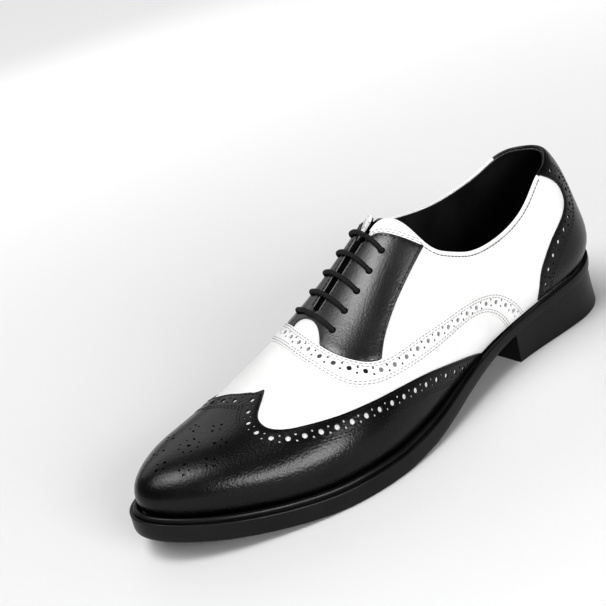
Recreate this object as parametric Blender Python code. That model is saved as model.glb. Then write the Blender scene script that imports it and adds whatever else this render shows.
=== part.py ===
# Left shoe of a wing-cap brogue: a last-shaped upper with its overlays, on a welted sole with a flared heel.
# Sizes are in millimetres until the meshes are made. x runs from heel to toe, y to the outer side, z up.

from collections import namedtuple

import bmesh
import bpy
import numpy as np
from mathutils import Vector
from mathutils.geometry import delaunay_2d_cdt

METRES_PER_MM = 0.001
CENTRE_X = 153.38
CENTRE_Y = -0.11

# The last, a row per section: feather edge on both sides, crest line, fullness, swell and sole margin.
Section = namedtuple("Section", "x outer inner spine ridge across up swell margin")
LAST = [
    Section(9, 12.5, -15.3, -1.4, 102.5, 2.70, 2.50, 3.5, 3.6),
    Section(24, 24.0, -26.8, -1.4, 103.0, 2.70, 2.45, 3.4, 3.3),
    Section(50, 27.6, -29.6, -1.3, 106.0, 2.70, 2.40, 3.1, 2.9),
    Section(80, 28.1, -27.4, -0.8, 111.5, 2.70, 2.35, 2.4, 2.8),
    Section(104, 30.4, -25.8, -0.4, 114.2, 2.60, 2.25, 1.8, 3.2),
    Section(122, 33.6, -26.3, -0.4, 109.0, 2.40, 2.15, 1.5, 3.9),
    Section(140, 37.5, -29.1, -1.1, 98.5, 2.20, 2.05, 1.4, 4.9),
    Section(160, 42.0, -35.2, -2.1, 84.9, 2.05, 2.00, 1.6, 5.8),
    Section(182, 45.8, -43.0, -2.8, 70.8, 2.00, 2.00, 1.8, 6.3),
    Section(204, 47.1, -47.1, -2.8, 59.1, 2.15, 2.15, 2.0, 6.3),
    Section(226, 44.1, -46.4, -2.4, 49.7, 2.30, 2.40, 2.1, 6.3),
    Section(248, 37.1, -41.2, -2.2, 43.9, 2.50, 2.60, 2.0, 6.3),
    Section(268, 28.3, -33.2, -2.0, 42.8, 2.60, 2.70, 1.9, 6.5),
    Section(288, 16.3, -20.8, -1.8, 43.3, 2.65, 2.70, 1.7, 6.6),
]
HEEL_BACK = (4.0, -1.4)
TOE_TIP = (301.0, -1.6)
SWELL_HEIGHT = 13.5
HEEL_PIVOT = 38.0
TOE_PIVOT = 266.0
PIVOT_SOFTNESS = 6.0

# Underside of the sole: seat and arch by rows, a flat tread at the ball, then the toe spring.
Rise = namedtuple("Rise", "x height")
ARCH = [
    Rise(0, 25.0), Rise(45, 21.2), Rise(90, 16.4), Rise(116, 12.6),
    Rise(140, 7.6), Rise(164, 2.6), Rise(190, 0.0),
]
TREAD_FROM = 190.0
TREAD_TO = 222.0
TOE_END = 308.0
TOE_SPRING = 16.5
TOE_SPRING_POWER = 1.7
OUTSOLE_THICKNESS = 5.7
OUTSOLE_FOREPART_EXTRA = 1.7
OUTSOLE_EDGE_ROUND = 0.8
WELT_HEIGHT = 2.3
FOREPART_FROM = 70.0
FOREPART_FULL = 190.0
WELT_ENDS_AT = 120.0
WELT_INSET = 2.0
WELT_UNDER_UPPER = 2.6
WELT_SIDE_LEVEL = 0.7
WELT_RIDGE_SHARES = (0.82, 0.62)
WELT_GROOVE_SHARE = 0.45
WELT_GROOVE_LEVEL = 0.5
WELT_INNER_LEVEL = 0.85
HEEL_BREAST = 86.0
HEEL_LIP = 0.9
HEEL_FLARE = 1.8
HEEL_FLARE_FROM = 40.0
HEEL_LEVELS = (0.0, 0.35, 0.7, 1.0)
INSOLE_INSET = 3.6
INSOLE_ABOVE_FEATHER = 1.0
GAP = 0.35

# Upper, tongue and overlays, as heights off the last's skin.
UPPER_WALL = 2.0
OVERLAY_GAP = 0.45
OVERLAY_THICKNESS = 1.2
TONGUE_GAP = 0.6
TONGUE_THICKNESS = 2.0

# Pattern edges: x of the rib's foot, and the share of the rib from the ridge (0) to the feather edge (1).
Edge = namedtuple("Edge", "x share")
FOOT_SHARE = 0.995
TOPLINE_OUTER = [
    Edge(16, 0.37), Edge(26, 0.41), Edge(38, 0.46), Edge(50, 0.55),
    Edge(60, 0.62), Edge(74, 0.67), Edge(90, 0.685),
    Edge(104, 0.66), Edge(116, 0.59), Edge(125, 0.50),
    Edge(129.5, 0.39), Edge(132, 0.24), Edge(134.4, 0.13),
]
TOPLINE_INNER = [
    Edge(16, 0.37), Edge(26, 0.41), Edge(38, 0.48), Edge(54, 0.54), Edge(74, 0.57), Edge(92, 0.565),
    Edge(108, 0.52), Edge(120, 0.45), Edge(127, 0.37), Edge(131, 0.26), Edge(134, 0.14),
]
HEEL_TOP_SHARE = 0.36
SLIT_HALF_WIDTH = 1.7
SLIT_TOP = 137.0
SLIT_BOTTOM = 182.5
FACING_SLIT_MARGIN = 0.3
FACING_JOIN_GAP = 0.15
# A share below zero lies past the crest, on the other side: the wing's peak is outside the crest.
WING_OUTER = [
    Edge(115, FOOT_SHARE), Edge(133, 0.93), Edge(159, 0.81),
    Edge(183, 0.71), Edge(209.8, 0.604), Edge(229.2, 0.481), Edge(239, 0.369), Edge(241.4, 0.272),
    Edge(240.3, 0.192), Edge(235.9, 0.123), Edge(231.2, 0.085), Edge(226.4, 0.046),
]
WING_INNER = [
    Edge(115, FOOT_SHARE), Edge(133, 0.93), Edge(159, 0.81),
    Edge(183, 0.71), Edge(208, 0.598), Edge(223.5, 0.51), Edge(232, 0.42), Edge(235.6, 0.335),
    Edge(236.2, 0.255), Edge(235, 0.166), Edge(233, 0.071), Edge(230.1, 0.0), Edge(226.4, -0.046),
]
BAND_UPPER = [
    Edge(76, FOOT_SHARE), Edge(84, 0.93), Edge(95, 0.865),
    Edge(104, 0.835), Edge(131, 0.76), Edge(160, 0.65),
    Edge(180, 0.575), Edge(187.1, 0.512), Edge(193.7, 0.4), Edge(197.2, 0.19), Edge(198.2, 0.0),
]
BAND_LOWER = [
    Edge(91, FOOT_SHARE), Edge(96, 0.955), Edge(105, 0.90),
    Edge(114, 0.87), Edge(135, 0.82), Edge(156, 0.755),
    Edge(178, 0.665), Edge(191.5, 0.593), Edge(199.5, 0.497), Edge(204.1, 0.3), Edge(206, 0.0),
]
FACING_REAR = [
    Edge(179.5, 0.555), Edge(174.6, 0.522), Edge(168.6, 0.492),
    Edge(157.5, 0.458), Edge(144.5, 0.441), Edge(129.8, 0.43),
]
FACING_TOP = [
    Edge(129.8, 0.43), Edge(134.5, 0.33), Edge(139, 0.2),
    Edge(142.5, 0.1), Edge(147.5, 0.055),
]
FACING_FOOT = [
    Edge(196.2, 0.17), Edge(195.6, 0.28), Edge(192.6, 0.395),
    Edge(186.1, 0.497), Edge(179.5, 0.555),
]
FACING_ARCH = [Edge(186.8, 0.0), Edge(188.1, 0.05), Edge(190.2, 0.12), Edge(196.2, 0.17)]
COUNTER_LOWER = [
    Edge(64, FOOT_SHARE), Edge(63, 0.95), Edge(60, 0.905),
    Edge(54.5, 0.865), Edge(47, 0.818), Edge(37.5, 0.77),
    Edge(30, 0.728), Edge(25.7, 0.68), Edge(25, 0.62),
]
COUNTER_OUTER = COUNTER_LOWER + [Edge(29.6, 0.535), Edge(38, 0.478)]
COUNTER_INNER = COUNTER_LOWER + [Edge(25.8, 0.53), Edge(28.5, 0.445)]
COUNTER_TOP_CLEARANCE = 0.015
TONGUE_TOP = 134.0
TONGUE_TOE = 206.0
TONGUE_HALF_TOP = 12.5
TONGUE_HALF_TOE = 9.0
TONGUE_CORNER = 4.0
TONGUE_CORNER_POWER = 0.7

# Laces.
LACE_ROWS = 5
FIRST_EYELET = 147.0
EYELET_PITCH = 10.0
INNER_EYELETS_BACK = 3.5
EYELET_SHARE = 0.21
EYELET_RADIUS = 1.75
LACE_RADIUS = 1.3
LACE_END_DEPTH = 1.4
LACE_RUN_SHARES = (0.55, 0.8)

# Fineness of the facets.
RIB_COUNT = 108
WALL_SHARES = (0.955, 0.905, 0.84, 0.76)
CROWN_SHARES = (0.67, 0.58, 0.47, 0.36, 0.25, 0.13)
NET_SPACING = 5.4
BORDER_CLEARANCE = 1.6
EDGE_SPACING = 5.0
SOLE_STATIONS = 40
WELT_STATIONS = 80
FLAT_SPREAD = 2.0
OUTLINE_SAMPLES = 3001
LINE_SAMPLES = 240
HALVINGS = 40
SHARE_STEPS = 9
TINY_STEP = 1e-4
NORMAL_SHARES = (0.012, 0.996)
MERGE_DISTANCE = 1e-5
STRETCH_STEP = 0.5
BREAST_CLEARANCE = 4.0
SLIT_POINTS = 7
EYELET_SIDES = 8
TONGUE_SIDE_POINTS = 12
TONGUE_TOP_POINTS = 11
TONGUE_TOE_POINTS = 5
LACE_BEND_POINTS = 5
SHARP_ANGLE = np.radians(35)

# Finishes: colour and roughness.
Finish = namedtuple("Finish", "colour roughness")
WHITE_LEATHER = Finish((0.86, 0.86, 0.87), 0.38)
BLACK_LEATHER = Finish((0.012, 0.012, 0.013), 0.3)
TONGUE_LEATHER = Finish((0.012, 0.012, 0.013), 0.5)
INSOLE_LEATHER = Finish((0.02, 0.02, 0.02), 0.7)
SOLE_RUBBER = Finish((0.018, 0.018, 0.018), 0.45)
LACE_COTTON = Finish((0.012, 0.012, 0.013), 0.75)


def natural_curve(xs, ys):
    """Natural cubic through the rows, going on straight past both ends."""
    xs = np.array(xs, float)
    ys = np.array(ys, float)
    step = np.diff(xs)
    slope = np.diff(ys) / step
    system = np.eye(len(xs))
    right = np.zeros(len(xs))
    for i in range(1, len(xs) - 1):
        system[i, i - 1:i + 2] = step[i - 1], 2 * (step[i - 1] + step[i]), step[i]
        right[i] = 6 * (slope[i] - slope[i - 1])
    bend = np.linalg.solve(system, right)
    first = slope[0] - step[0] * bend[1] / 6
    last = slope[-1] + step[-1] * bend[-2] / 6

    def at(x):
        inside = np.clip(x, xs[0], xs[-1])
        i = np.clip(np.searchsorted(xs, inside) - 1, 0, len(xs) - 2)
        past = inside - xs[i]
        left = xs[i + 1] - inside
        value = (bend[i] * left**3 + bend[i + 1] * past**3) / (6 * step[i])
        value += (ys[i] / step[i] - bend[i] * step[i] / 6) * left
        value += (ys[i + 1] / step[i] - bend[i + 1] * step[i] / 6) * past
        return value + first * np.minimum(x - xs[0], 0) + last * np.maximum(x - xs[-1], 0)

    return at


def closed_curve(points):
    """Periodic cubic through the points, u from 0 to 1, and the u of each point."""
    points = np.array(points, float)
    ahead = np.roll(points, -1, axis=0)
    count = len(points)
    chord = np.linalg.norm(ahead - points, axis=1)
    start = np.concatenate([[0.0], np.cumsum(chord)])
    system = np.zeros((count, count))
    right = np.zeros((count, 2))
    for i in range(count):
        system[i, i - 1] = chord[i - 1]
        system[i, i] = 2 * (chord[i - 1] + chord[i])
        system[i, (i + 1) % count] = chord[i]
        right[i] = 6 * ((ahead[i] - points[i]) / chord[i] - (points[i] - points[i - 1]) / chord[i - 1])
    bend = np.linalg.solve(system, right)

    def at(u):
        along = np.mod(u, 1.0) * start[-1]
        i = np.clip(np.searchsorted(start, along, side="right") - 1, 0, count - 1)
        j = (i + 1) % count
        whole = chord[i][..., None]
        past = (along - start[i])[..., None]
        left = whole - past
        curve = (bend[i] * left**3 + bend[j] * past**3) / (6 * whole)
        curve += (points[i] / whole - bend[i] * whole / 6) * left
        return curve + (points[j] / whole - bend[j] * whole / 6) * past

    return at, start[:-1] / start[-1]


def smooth_line(points, spacing):
    """Flat points on a cubic through the given ones, about one spacing apart on the shoe."""
    points = np.array(points, float)
    along = np.concatenate([[0.0], np.cumsum(np.linalg.norm(np.diff(points, axis=0), axis=1))])
    curves = [natural_curve(along, points[:, axis]) for axis in (0, 1)]
    fine = np.linspace(0.0, along[-1], LINE_SAMPLES)
    places = lifted(np.stack([curve(fine) for curve in curves], axis=1), 0.0)
    gone = np.concatenate([[0.0], np.cumsum(np.linalg.norm(np.diff(places, axis=0), axis=1))])
    count = max(3, int(round(gone[-1] / spacing)) + 1)
    wanted = np.interp(np.linspace(0.0, gone[-1], count), gone, fine)
    return np.stack([curve(wanted) for curve in curves], axis=1)


def last_column(name):
    return natural_curve([row.x for row in LAST], [getattr(row, name) for row in LAST])


spine = last_column("spine")
ridge = last_column("ridge")
fullness_across = last_column("across")
fullness_up = last_column("up")
swell = last_column("swell")
margin = last_column("margin")
arch = natural_curve([row.x for row in ARCH], [row.height for row in ARCH])
outer_edge = [(row.x, row.outer) for row in LAST]
inner_edge = [(row.x, row.inner) for row in reversed(LAST)]
outline, outline_u = closed_curve([HEEL_BACK] + outer_edge + [TOE_TIP] + inner_edge)
TOE_U = outline_u[len(LAST) + 1]
OUTER_U = np.linspace(0.0, TOE_U, OUTLINE_SAMPLES)
INNER_U = np.linspace(1.0, TOE_U, OUTLINE_SAMPLES)
OUTER_X = np.maximum.accumulate(outline(OUTER_U)[:, 0])
INNER_X = np.maximum.accumulate(outline(INNER_U)[:, 0])


def rib_u(x, side):
    """Place on the feather outline of the rib whose foot is at x, on the outer (1) or inner (-1) side."""
    return np.interp(x, OUTER_X, OUTER_U) if side > 0 else np.interp(x, INNER_X, INNER_U)


def underside(x):
    toe = np.clip((x - TREAD_TO) / (TOE_END - TREAD_TO), 0.0, None)
    return np.where(x < TREAD_FROM, np.maximum(arch(x), 0.0), TOE_SPRING * toe**TOE_SPRING_POWER)


def forepart(x):
    """How far the sole has come from its waist (0) to the full forepart (1)."""
    t = np.clip((x - FOREPART_FROM) / (FOREPART_FULL - FOREPART_FROM), 0.0, 1.0)
    return t * t * (3 - 2 * t)


def sole_top(x):
    return underside(x) + OUTSOLE_THICKNESS + OUTSOLE_FOREPART_EXTRA * forepart(x)


def welt_top(x):
    """Height of the feather edge: the sole, then the welt where it has risen."""
    return sole_top(x) + GAP + WELT_HEIGHT * forepart(x)


def ribs(u):
    """Foot of each rib on the feather edge and its head on the crest line; they fan round heel and toe."""
    foot = outline(u)
    past_heel = np.logaddexp(0.0, (foot[..., 0] - HEEL_PIVOT) / PIVOT_SOFTNESS)
    past_toe = np.logaddexp(0.0, (foot[..., 0] - TOE_PIVOT) / PIVOT_SOFTNESS)
    head_x = HEEL_PIVOT + PIVOT_SOFTNESS * (past_heel - past_toe)
    return foot, np.stack([head_x, spine(head_x)], axis=-1)


def skin(u, share):
    """Point of the last: a superellipse quarter from the crest (share 0) to the feather edge (share 1)."""
    foot, head = ribs(u)
    reach = np.linalg.norm(head - foot, axis=-1)
    inward = (head - foot) / reach[..., None]
    x = foot[..., 0]
    angle = (1.0 - share) * np.pi / 2
    across = np.clip(np.cos(angle), 0.0, 1.0) ** (2 / fullness_across(x))
    up = np.clip(np.sin(angle), 0.0, 1.0) ** (2 / fullness_up(x))
    plan = foot + inward * (reach * (1 - across))[..., None]
    low = welt_top(x)
    height = low + (ridge(plan[..., 0]) - low) * up
    t = (height - low) / SWELL_HEIGHT
    plan = plan - inward * (swell(x) * (t * np.exp(1 - t)) ** 2)[..., None]
    return np.concatenate([plan, height[..., None]], axis=-1)


def skin_normal(u, share):
    share = np.clip(share, *NORMAL_SHARES)
    along = skin(u + TINY_STEP, share) - skin(u - TINY_STEP, share)
    down = skin(u, share + TINY_STEP) - skin(u, share - TINY_STEP)
    normal = np.cross(along, down)
    return normal / np.linalg.norm(normal, axis=-1, keepdims=True)


def flat(u, share):
    """Place of a skin point on the flat pattern: its rib laid out straight, spread toward its foot."""
    foot, head = ribs(u)
    share = np.asarray(share)
    return head + (foot - head) * (share + FLAT_SPREAD * share**4)[..., None]


def unflatten(points):
    """Rib and share of flat pattern points, by halving between heel and toe on each side."""
    outer = points[:, 1] >= spine(points[:, 0])
    heelward = np.where(outer, 0.0, 1.0)
    toeward = np.full(len(points), TOE_U)
    for _ in range(HALVINGS):
        middle = (heelward + toeward) / 2
        foot, head = ribs(middle)
        run = foot - head
        gone = points - head
        turn = run[:, 0] * gone[:, 1] - run[:, 1] * gone[:, 0]
        ahead = (turn < 0) == outer
        heelward = np.where(ahead, middle, heelward)
        toeward = np.where(ahead, toeward, middle)
    foot, head = ribs(heelward)
    run = np.linalg.norm(points - head, axis=1) / np.linalg.norm(foot - head, axis=1)
    share = np.ones(len(points))
    for _ in range(SHARE_STEPS):
        share = share - (share + FLAT_SPREAD * share**4 - run) / (1 + 4 * FLAT_SPREAD * share**3)
    return heelward, np.clip(share, 0.0, 1.0)


def lifted(points, height):
    """Flat pattern points on the shoe, at a height off the skin."""
    u, share = unflatten(np.asarray(points, float))
    return skin(u, share) + skin_normal(u, share) * height


def pattern(rows, side):
    return np.array([flat(rib_u(row.x, side if row.share >= 0 else -side), abs(row.share)) for row in rows])


def foot_line(x, side):
    """Foot of an overlay from the rib at x on one side to that on the other, round toe (1) or heel (-1)."""
    start = rib_u(x, side)
    end = rib_u(x, -side) + (side < 0)
    u = np.arange(np.ceil(start * RIB_COUNT + 0.5), np.floor(end * RIB_COUNT - 0.5) + 1) / RIB_COUNT
    return flat(u, np.full(len(u), FOOT_SHARE))


def inside(points, loop):
    """Even-odd test of points against a closed loop."""
    start = loop[:, None]
    end = np.roll(loop, -1, axis=0)[:, None]
    crosses = (start[..., 1] > points[:, 1]) != (end[..., 1] > points[:, 1])
    rise = np.where(end[..., 1] == start[..., 1], 1.0, end[..., 1] - start[..., 1])
    at_x = start[..., 0] + (points[:, 1] - start[..., 1]) * (end[..., 0] - start[..., 0]) / rise
    return (crosses & (points[:, 0] < at_x)).sum(axis=0) % 2 == 1


def rib_net():
    """Flat points on the ribs, thinned over the crown, where the ribs crowd."""
    u = np.arange(RIB_COUNT) / RIB_COUNT
    rows = [flat(u, np.full(RIB_COUNT, share)) for share in WALL_SHARES + CROWN_SHARES]
    crest_x = np.arange(HEEL_PIVOT, TOE_PIVOT, 2 * EDGE_SPACING)
    rows.append(np.stack([crest_x, spine(crest_x)], axis=1))
    points = np.concatenate(rows)
    places = lifted(points, 0.0)
    kept = list(range(RIB_COUNT * len(WALL_SHARES)))
    for i in range(len(kept), len(points)):
        if np.min(np.linalg.norm(places[kept] - places[i], axis=1)) > NET_SPACING:
            kept.append(i)
    return points[kept], places[kept]


NET, NET_PLACES = rib_net()


def fill(loops):
    """Triangles of the area inside the first loop and outside the others, with the rib net inside it."""
    border = np.concatenate(loops)
    within = inside(NET, loops[0])
    for hole in loops[1:]:
        within &= ~inside(NET, hole)
    apart = np.linalg.norm(NET_PLACES[:, None] - lifted(border, 0.0)[None], axis=2)
    clear = np.min(apart, axis=1) > BORDER_CLEARANCE
    edges = []
    for loop in loops:
        start = len(edges)
        edges += [(start + i, start + (i + 1) % len(loop)) for i in range(len(loop))]
    points = np.concatenate([border, NET[within & clear]])
    result = delaunay_2d_cdt([Vector(point) for point in points], edges, [], 0, MERGE_DISTANCE)
    points = np.array([tuple(point) for point in result[0]])
    faces = np.array([tuple(face) for face in result[2]])
    middle = points[faces].mean(axis=1)
    keep = inside(middle, loops[0])
    for hole in loops[1:]:
        keep &= ~inside(middle, hole)
    used, faces = np.unique(faces[keep], return_inverse=True)
    return points[used], faces.reshape(-1, 3)


def material(name, finish):
    made = bpy.data.materials.new(name)
    made.use_nodes = True
    shader = made.node_tree.nodes["Principled BSDF"]
    shader.inputs["Base Color"].default_value = (*finish.colour, 1.0)
    shader.inputs["Roughness"].default_value = finish.roughness
    shader.inputs["Metallic"].default_value = 0.0
    return made


def solid(name, points, faces, surface):
    """Object from points in millimetres, its faces turned outwards."""
    points = (np.asarray(points) - (CENTRE_X, CENTRE_Y, 0.0)) * METRES_PER_MM
    mesh = bpy.data.meshes.new(name)
    mesh.from_pydata(points.tolist(), [], [list(face) for face in faces])
    work = bmesh.new()
    work.from_mesh(mesh)
    bmesh.ops.recalc_face_normals(work, faces=work.faces)
    work.to_mesh(mesh)
    work.free()
    mesh.shade_smooth()
    mesh.set_sharp_from_angle(angle=SHARP_ANGLE)
    mesh.materials.append(surface)
    made = bpy.data.objects.new(name, mesh)
    made.parent = shoe
    bpy.context.scene.collection.objects.link(made)


def sheet(name, loops, low, high, surface):
    """Closed sheet between two heights off the skin, over a flat outline with holes."""
    points, faces = fill(loops)
    count = len(points)
    edges = np.concatenate([faces[:, [0, 1]], faces[:, [1, 2]], faces[:, [2, 0]]])
    known = {tuple(edge) for edge in edges}
    rim = [(j, i, i + count, j + count) for i, j in edges if (j, i) not in known]
    both = [tuple(face) for face in faces] + [tuple(face[::-1] + count) for face in faces] + rim
    solid(name, np.concatenate([lifted(points, high), lifted(points, low)]), both, surface)


def loft(name, rings, surface):
    """Solid of rings from bottom to top. Both ends are closed by strips across the shoe."""
    size = len(rings[0])
    faces = []
    for level in range(len(rings) - 1):
        for i in range(size):
            j = (i + 1) % size
            faces.append((level * size + i, (level + 1) * size + i, (level + 1) * size + j, level * size + j))
    for start in (0, (len(rings) - 1) * size):
        for i in range((size + 1) // 2 if size % 2 == 0 else size // 2):
            strip = (i, -i % size, (-i - 1) % size, i + 1)
            faces.append([start + k for k in dict.fromkeys(strip)])
    solid(name, np.concatenate(rings), faces, surface)


def sole_stations(last_x=None):
    """Places on the outline, paired across the shoe: heel back, outer side, toe, inner side."""
    turn = np.linspace(0.0, np.pi, SOLE_STATIONS + 1)[1:-1]
    x = (OUTER_X[0] + OUTER_X[-1]) / 2 - (OUTER_X[-1] - OUTER_X[0]) / 2 * np.cos(turn)
    if last_x is not None:
        x = np.append(x[x < last_x - BREAST_CLEARANCE], last_x)
    outer = np.interp(x, OUTER_X, OUTER_U)
    inner = np.interp(x, INNER_X, INNER_U)[::-1]
    toe = [TOE_U] if last_x is None else []
    return np.concatenate([[0.0], outer, toe, inner])


def outset(u, distance):
    """Outline moved out square to itself."""
    along = outline(u + TINY_STEP) - outline(u - TINY_STEP)
    along = along / np.linalg.norm(along, axis=1, keepdims=True)
    out = np.stack([-along[:, 1], along[:, 0]], axis=1)
    return outline(u) + out * np.broadcast_to(distance, len(u))[:, None]


def ring(u, distance, height):
    plan = outset(u, distance)
    return np.column_stack([plan, height(plan[:, 0])])


def build_outsole():
    u = sole_stations()
    edge = margin(outline(u)[:, 0])
    rings = [
        ring(u, edge - OUTSOLE_EDGE_ROUND, underside),
        ring(u, edge, lambda x: underside(x) + OUTSOLE_EDGE_ROUND),
        ring(u, edge, lambda x: sole_top(x) - OUTSOLE_EDGE_ROUND),
        ring(u, edge - OUTSOLE_EDGE_ROUND, sole_top),
    ]
    loft("outsole", rings, material("outsole", SOLE_RUBBER))


def build_heel():
    u = sole_stations(HEEL_BREAST)
    x = outline(u)[:, 0]
    flare = HEEL_FLARE * np.clip((HEEL_FLARE_FROM - x) / HEEL_FLARE_FROM, 0.0, 1.0)
    rings = []
    for lift in HEEL_LEVELS:
        out = margin(x) - HEEL_LIP + (flare + HEEL_LIP / 2) * (1 - lift) ** 2
        rings.append(ring(u, out, lambda at_x: (underside(at_x) - GAP) * lift))
    loft("heel", rings, material("heel", SOLE_RUBBER))


def build_insole():
    u = sole_stations()
    rings = [
        ring(u, -INSOLE_INSET, lambda x: sole_top(x) + GAP),
        ring(u, -INSOLE_INSET, lambda x: welt_top(x) + INSOLE_ABOVE_FEATHER),
    ]
    loft("insole", rings, material("insole", INSOLE_LEATHER))


def welt_level(level):
    """Height between the welt's foot on the outsole (0) and its top under the upper (1)."""
    return lambda x: sole_top(x) + GAP + (welt_top(x) - sole_top(x) - 2 * GAP) * level


def build_welt():
    u = np.linspace(rib_u(WELT_ENDS_AT, 1), rib_u(WELT_ENDS_AT, -1), WELT_STATIONS)
    edge = margin(outline(u)[:, 0]) - WELT_INSET
    section = [
        ring(u, -WELT_UNDER_UPPER, welt_level(0.0)),
        ring(u, edge, welt_level(0.0)),
        ring(u, edge, welt_level(WELT_SIDE_LEVEL)),
        ring(u, WELT_RIDGE_SHARES[0] * edge, welt_level(1.0)),
        ring(u, WELT_RIDGE_SHARES[1] * edge, welt_level(1.0)),
        ring(u, WELT_GROOVE_SHARE * edge, welt_level(WELT_GROOVE_LEVEL)),
        ring(u, -WELT_UNDER_UPPER, welt_level(WELT_INNER_LEVEL)),
    ]
    points = np.stack(section, axis=1).reshape(-1, 3)
    sides = len(section)
    faces = [tuple(range(sides)), tuple(range((len(u) - 1) * sides, len(u) * sides))]
    for i in range(len(u) - 1):
        for k in range(sides):
            j = (k + 1) % sides
            faces.append((i * sides + k, i * sides + j, (i + 1) * sides + j, (i + 1) * sides + k))
    solid("welt", points, faces, material("welt", SOLE_RUBBER))


def topline(side):
    """Collar edge of one side, from the heel's back to the top of the slit."""
    rows = TOPLINE_OUTER if side > 0 else TOPLINE_INNER
    heel = flat(np.array(0.0), HEEL_TOP_SHARE)
    slit = (SLIT_TOP, spine(SLIT_TOP) + side * SLIT_HALF_WIDTH)
    return smooth_line(np.vstack([heel, pattern(rows, side), slit]), EDGE_SPACING)


def slit_edge(side):
    x = np.linspace(SLIT_TOP, SLIT_BOTTOM, SLIT_POINTS)[1:]
    half = SLIT_HALF_WIDTH * np.minimum(1.0, (SLIT_BOTTOM + SLIT_HALF_WIDTH - x) / SLIT_HALF_WIDTH)
    return np.stack([x, spine(x) + side * half], axis=1)


def opening():
    outer = np.vstack([topline(1), slit_edge(1)])
    inner = np.vstack([topline(-1)[1:], slit_edge(-1)])
    tip = (SLIT_BOTTOM + SLIT_HALF_WIDTH, spine(SLIT_BOTTOM))
    return np.vstack([outer, tip, inner[::-1]])


def eyelet_centre(row, side):
    first = FIRST_EYELET if side > 0 else FIRST_EYELET - INNER_EYELETS_BACK
    return flat(rib_u(first + row * EYELET_PITCH, side), EYELET_SHARE)


def stretch(point):
    """Length on the skin of one pattern millimetre, along the shoe and across it."""
    ends = lifted(point + STRETCH_STEP * np.array([(1, 0), (-1, 0), (0, 1), (0, -1)]), 0.0)
    return np.linalg.norm(ends[::2] - ends[1::2], axis=1) / (2 * STRETCH_STEP)


def eyelets(side):
    turn = np.arange(EYELET_SIDES) * 2 * np.pi / EYELET_SIDES
    holes = []
    for row in range(LACE_ROWS):
        centre = eyelet_centre(row, side)
        round_hole = np.stack([np.cos(turn), np.sin(turn)], axis=1) * EYELET_RADIUS
        holes.append(centre + round_hole / stretch(centre))
    return holes


def build_upper():
    whole = flat(np.arange(RIB_COUNT) / RIB_COUNT, np.ones(RIB_COUNT))
    loops = [whole, opening()] + eyelets(1) + eyelets(-1)
    sheet("upper", loops, -UPPER_WALL, 0.0, material("upper", WHITE_LEATHER))


def build_tongue():
    high = -UPPER_WALL - TONGUE_GAP
    x = np.linspace(TONGUE_TOP + TONGUE_CORNER, TONGUE_TOE, TONGUE_SIDE_POINTS)
    half = np.linspace(TONGUE_HALF_TOP, TONGUE_HALF_TOE, len(x))
    sides = [np.stack([x, spine(x) + side * half], axis=1) for side in (1, -1)]
    turn = np.linspace(0.0, np.pi, TONGUE_TOP_POINTS)[1:-1]
    top_x = x[0] - TONGUE_CORNER * np.sin(turn) ** TONGUE_CORNER_POWER
    top = np.stack([top_x, spine(top_x) - half[0] * np.cos(turn)], axis=1)
    toe_y = np.linspace(-half[-1], half[-1], TONGUE_TOE_POINTS)[1:-1]
    toe = np.stack([np.full(len(toe_y), TONGUE_TOE), spine(TONGUE_TOE) + toe_y], axis=1)
    loop = np.vstack([sides[0][::-1], top[::-1], sides[1], toe])
    sheet("tongue", [loop], high - TONGUE_THICKNESS, high, material("tongue", TONGUE_LEATHER))


def build_overlay(name, loops, finish):
    sheet(name, loops, OVERLAY_GAP, OVERLAY_GAP + OVERLAY_THICKNESS, material(name, finish))


def build_wing_cap():
    outer = smooth_line(pattern(WING_OUTER, 1), EDGE_SPACING)
    inner = smooth_line(pattern(WING_INNER, -1), EDGE_SPACING)[-2::-1]
    toe = foot_line(WING_OUTER[0].x, 1)[::-1]
    build_overlay("wing_cap", [np.vstack([outer, inner, toe])], BLACK_LEATHER)


def build_vamp_band():
    upper_edge = [smooth_line(pattern(BAND_UPPER, side), EDGE_SPACING) for side in (1, -1)]
    lower_edge = [smooth_line(pattern(BAND_LOWER, side), EDGE_SPACING) for side in (1, -1)]
    loop = np.vstack([upper_edge[0], upper_edge[1][-2::-1], lower_edge[1], lower_edge[0][-2::-1]])
    build_overlay("vamp_band", [loop], WHITE_LEATHER)


def facing_slit(side):
    """Facing's edge beside the slit, then along the crest, where both facings meet below the slit."""
    tip = SLIT_BOTTOM + SLIT_HALF_WIDTH
    along_slit = np.linspace(FACING_TOP[-1].x, SLIT_BOTTOM, SLIT_POINTS)[1:]
    x = np.append(along_slit, [tip + FACING_SLIT_MARGIN - FACING_JOIN_GAP, FACING_ARCH[0].x])
    half = np.minimum(SLIT_HALF_WIDTH, tip - x) + FACING_SLIT_MARGIN
    return np.stack([x, spine(x) + side * np.maximum(half, FACING_JOIN_GAP)], axis=1)


def build_facing(name, side):
    edges = [smooth_line(pattern(rows, side), EDGE_SPACING) for rows in (FACING_REAR, FACING_TOP)]
    edges += [facing_slit(side), smooth_line(pattern(FACING_ARCH, side), EDGE_SPACING / 2)[1:]]
    edges += [smooth_line(pattern(FACING_FOOT, side), EDGE_SPACING)[1:-1]]
    loop = np.vstack([edges[0], edges[1][1:], edges[2], edges[3], edges[4]])
    build_overlay(name, [loop] + eyelets(side), BLACK_LEATHER)


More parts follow.
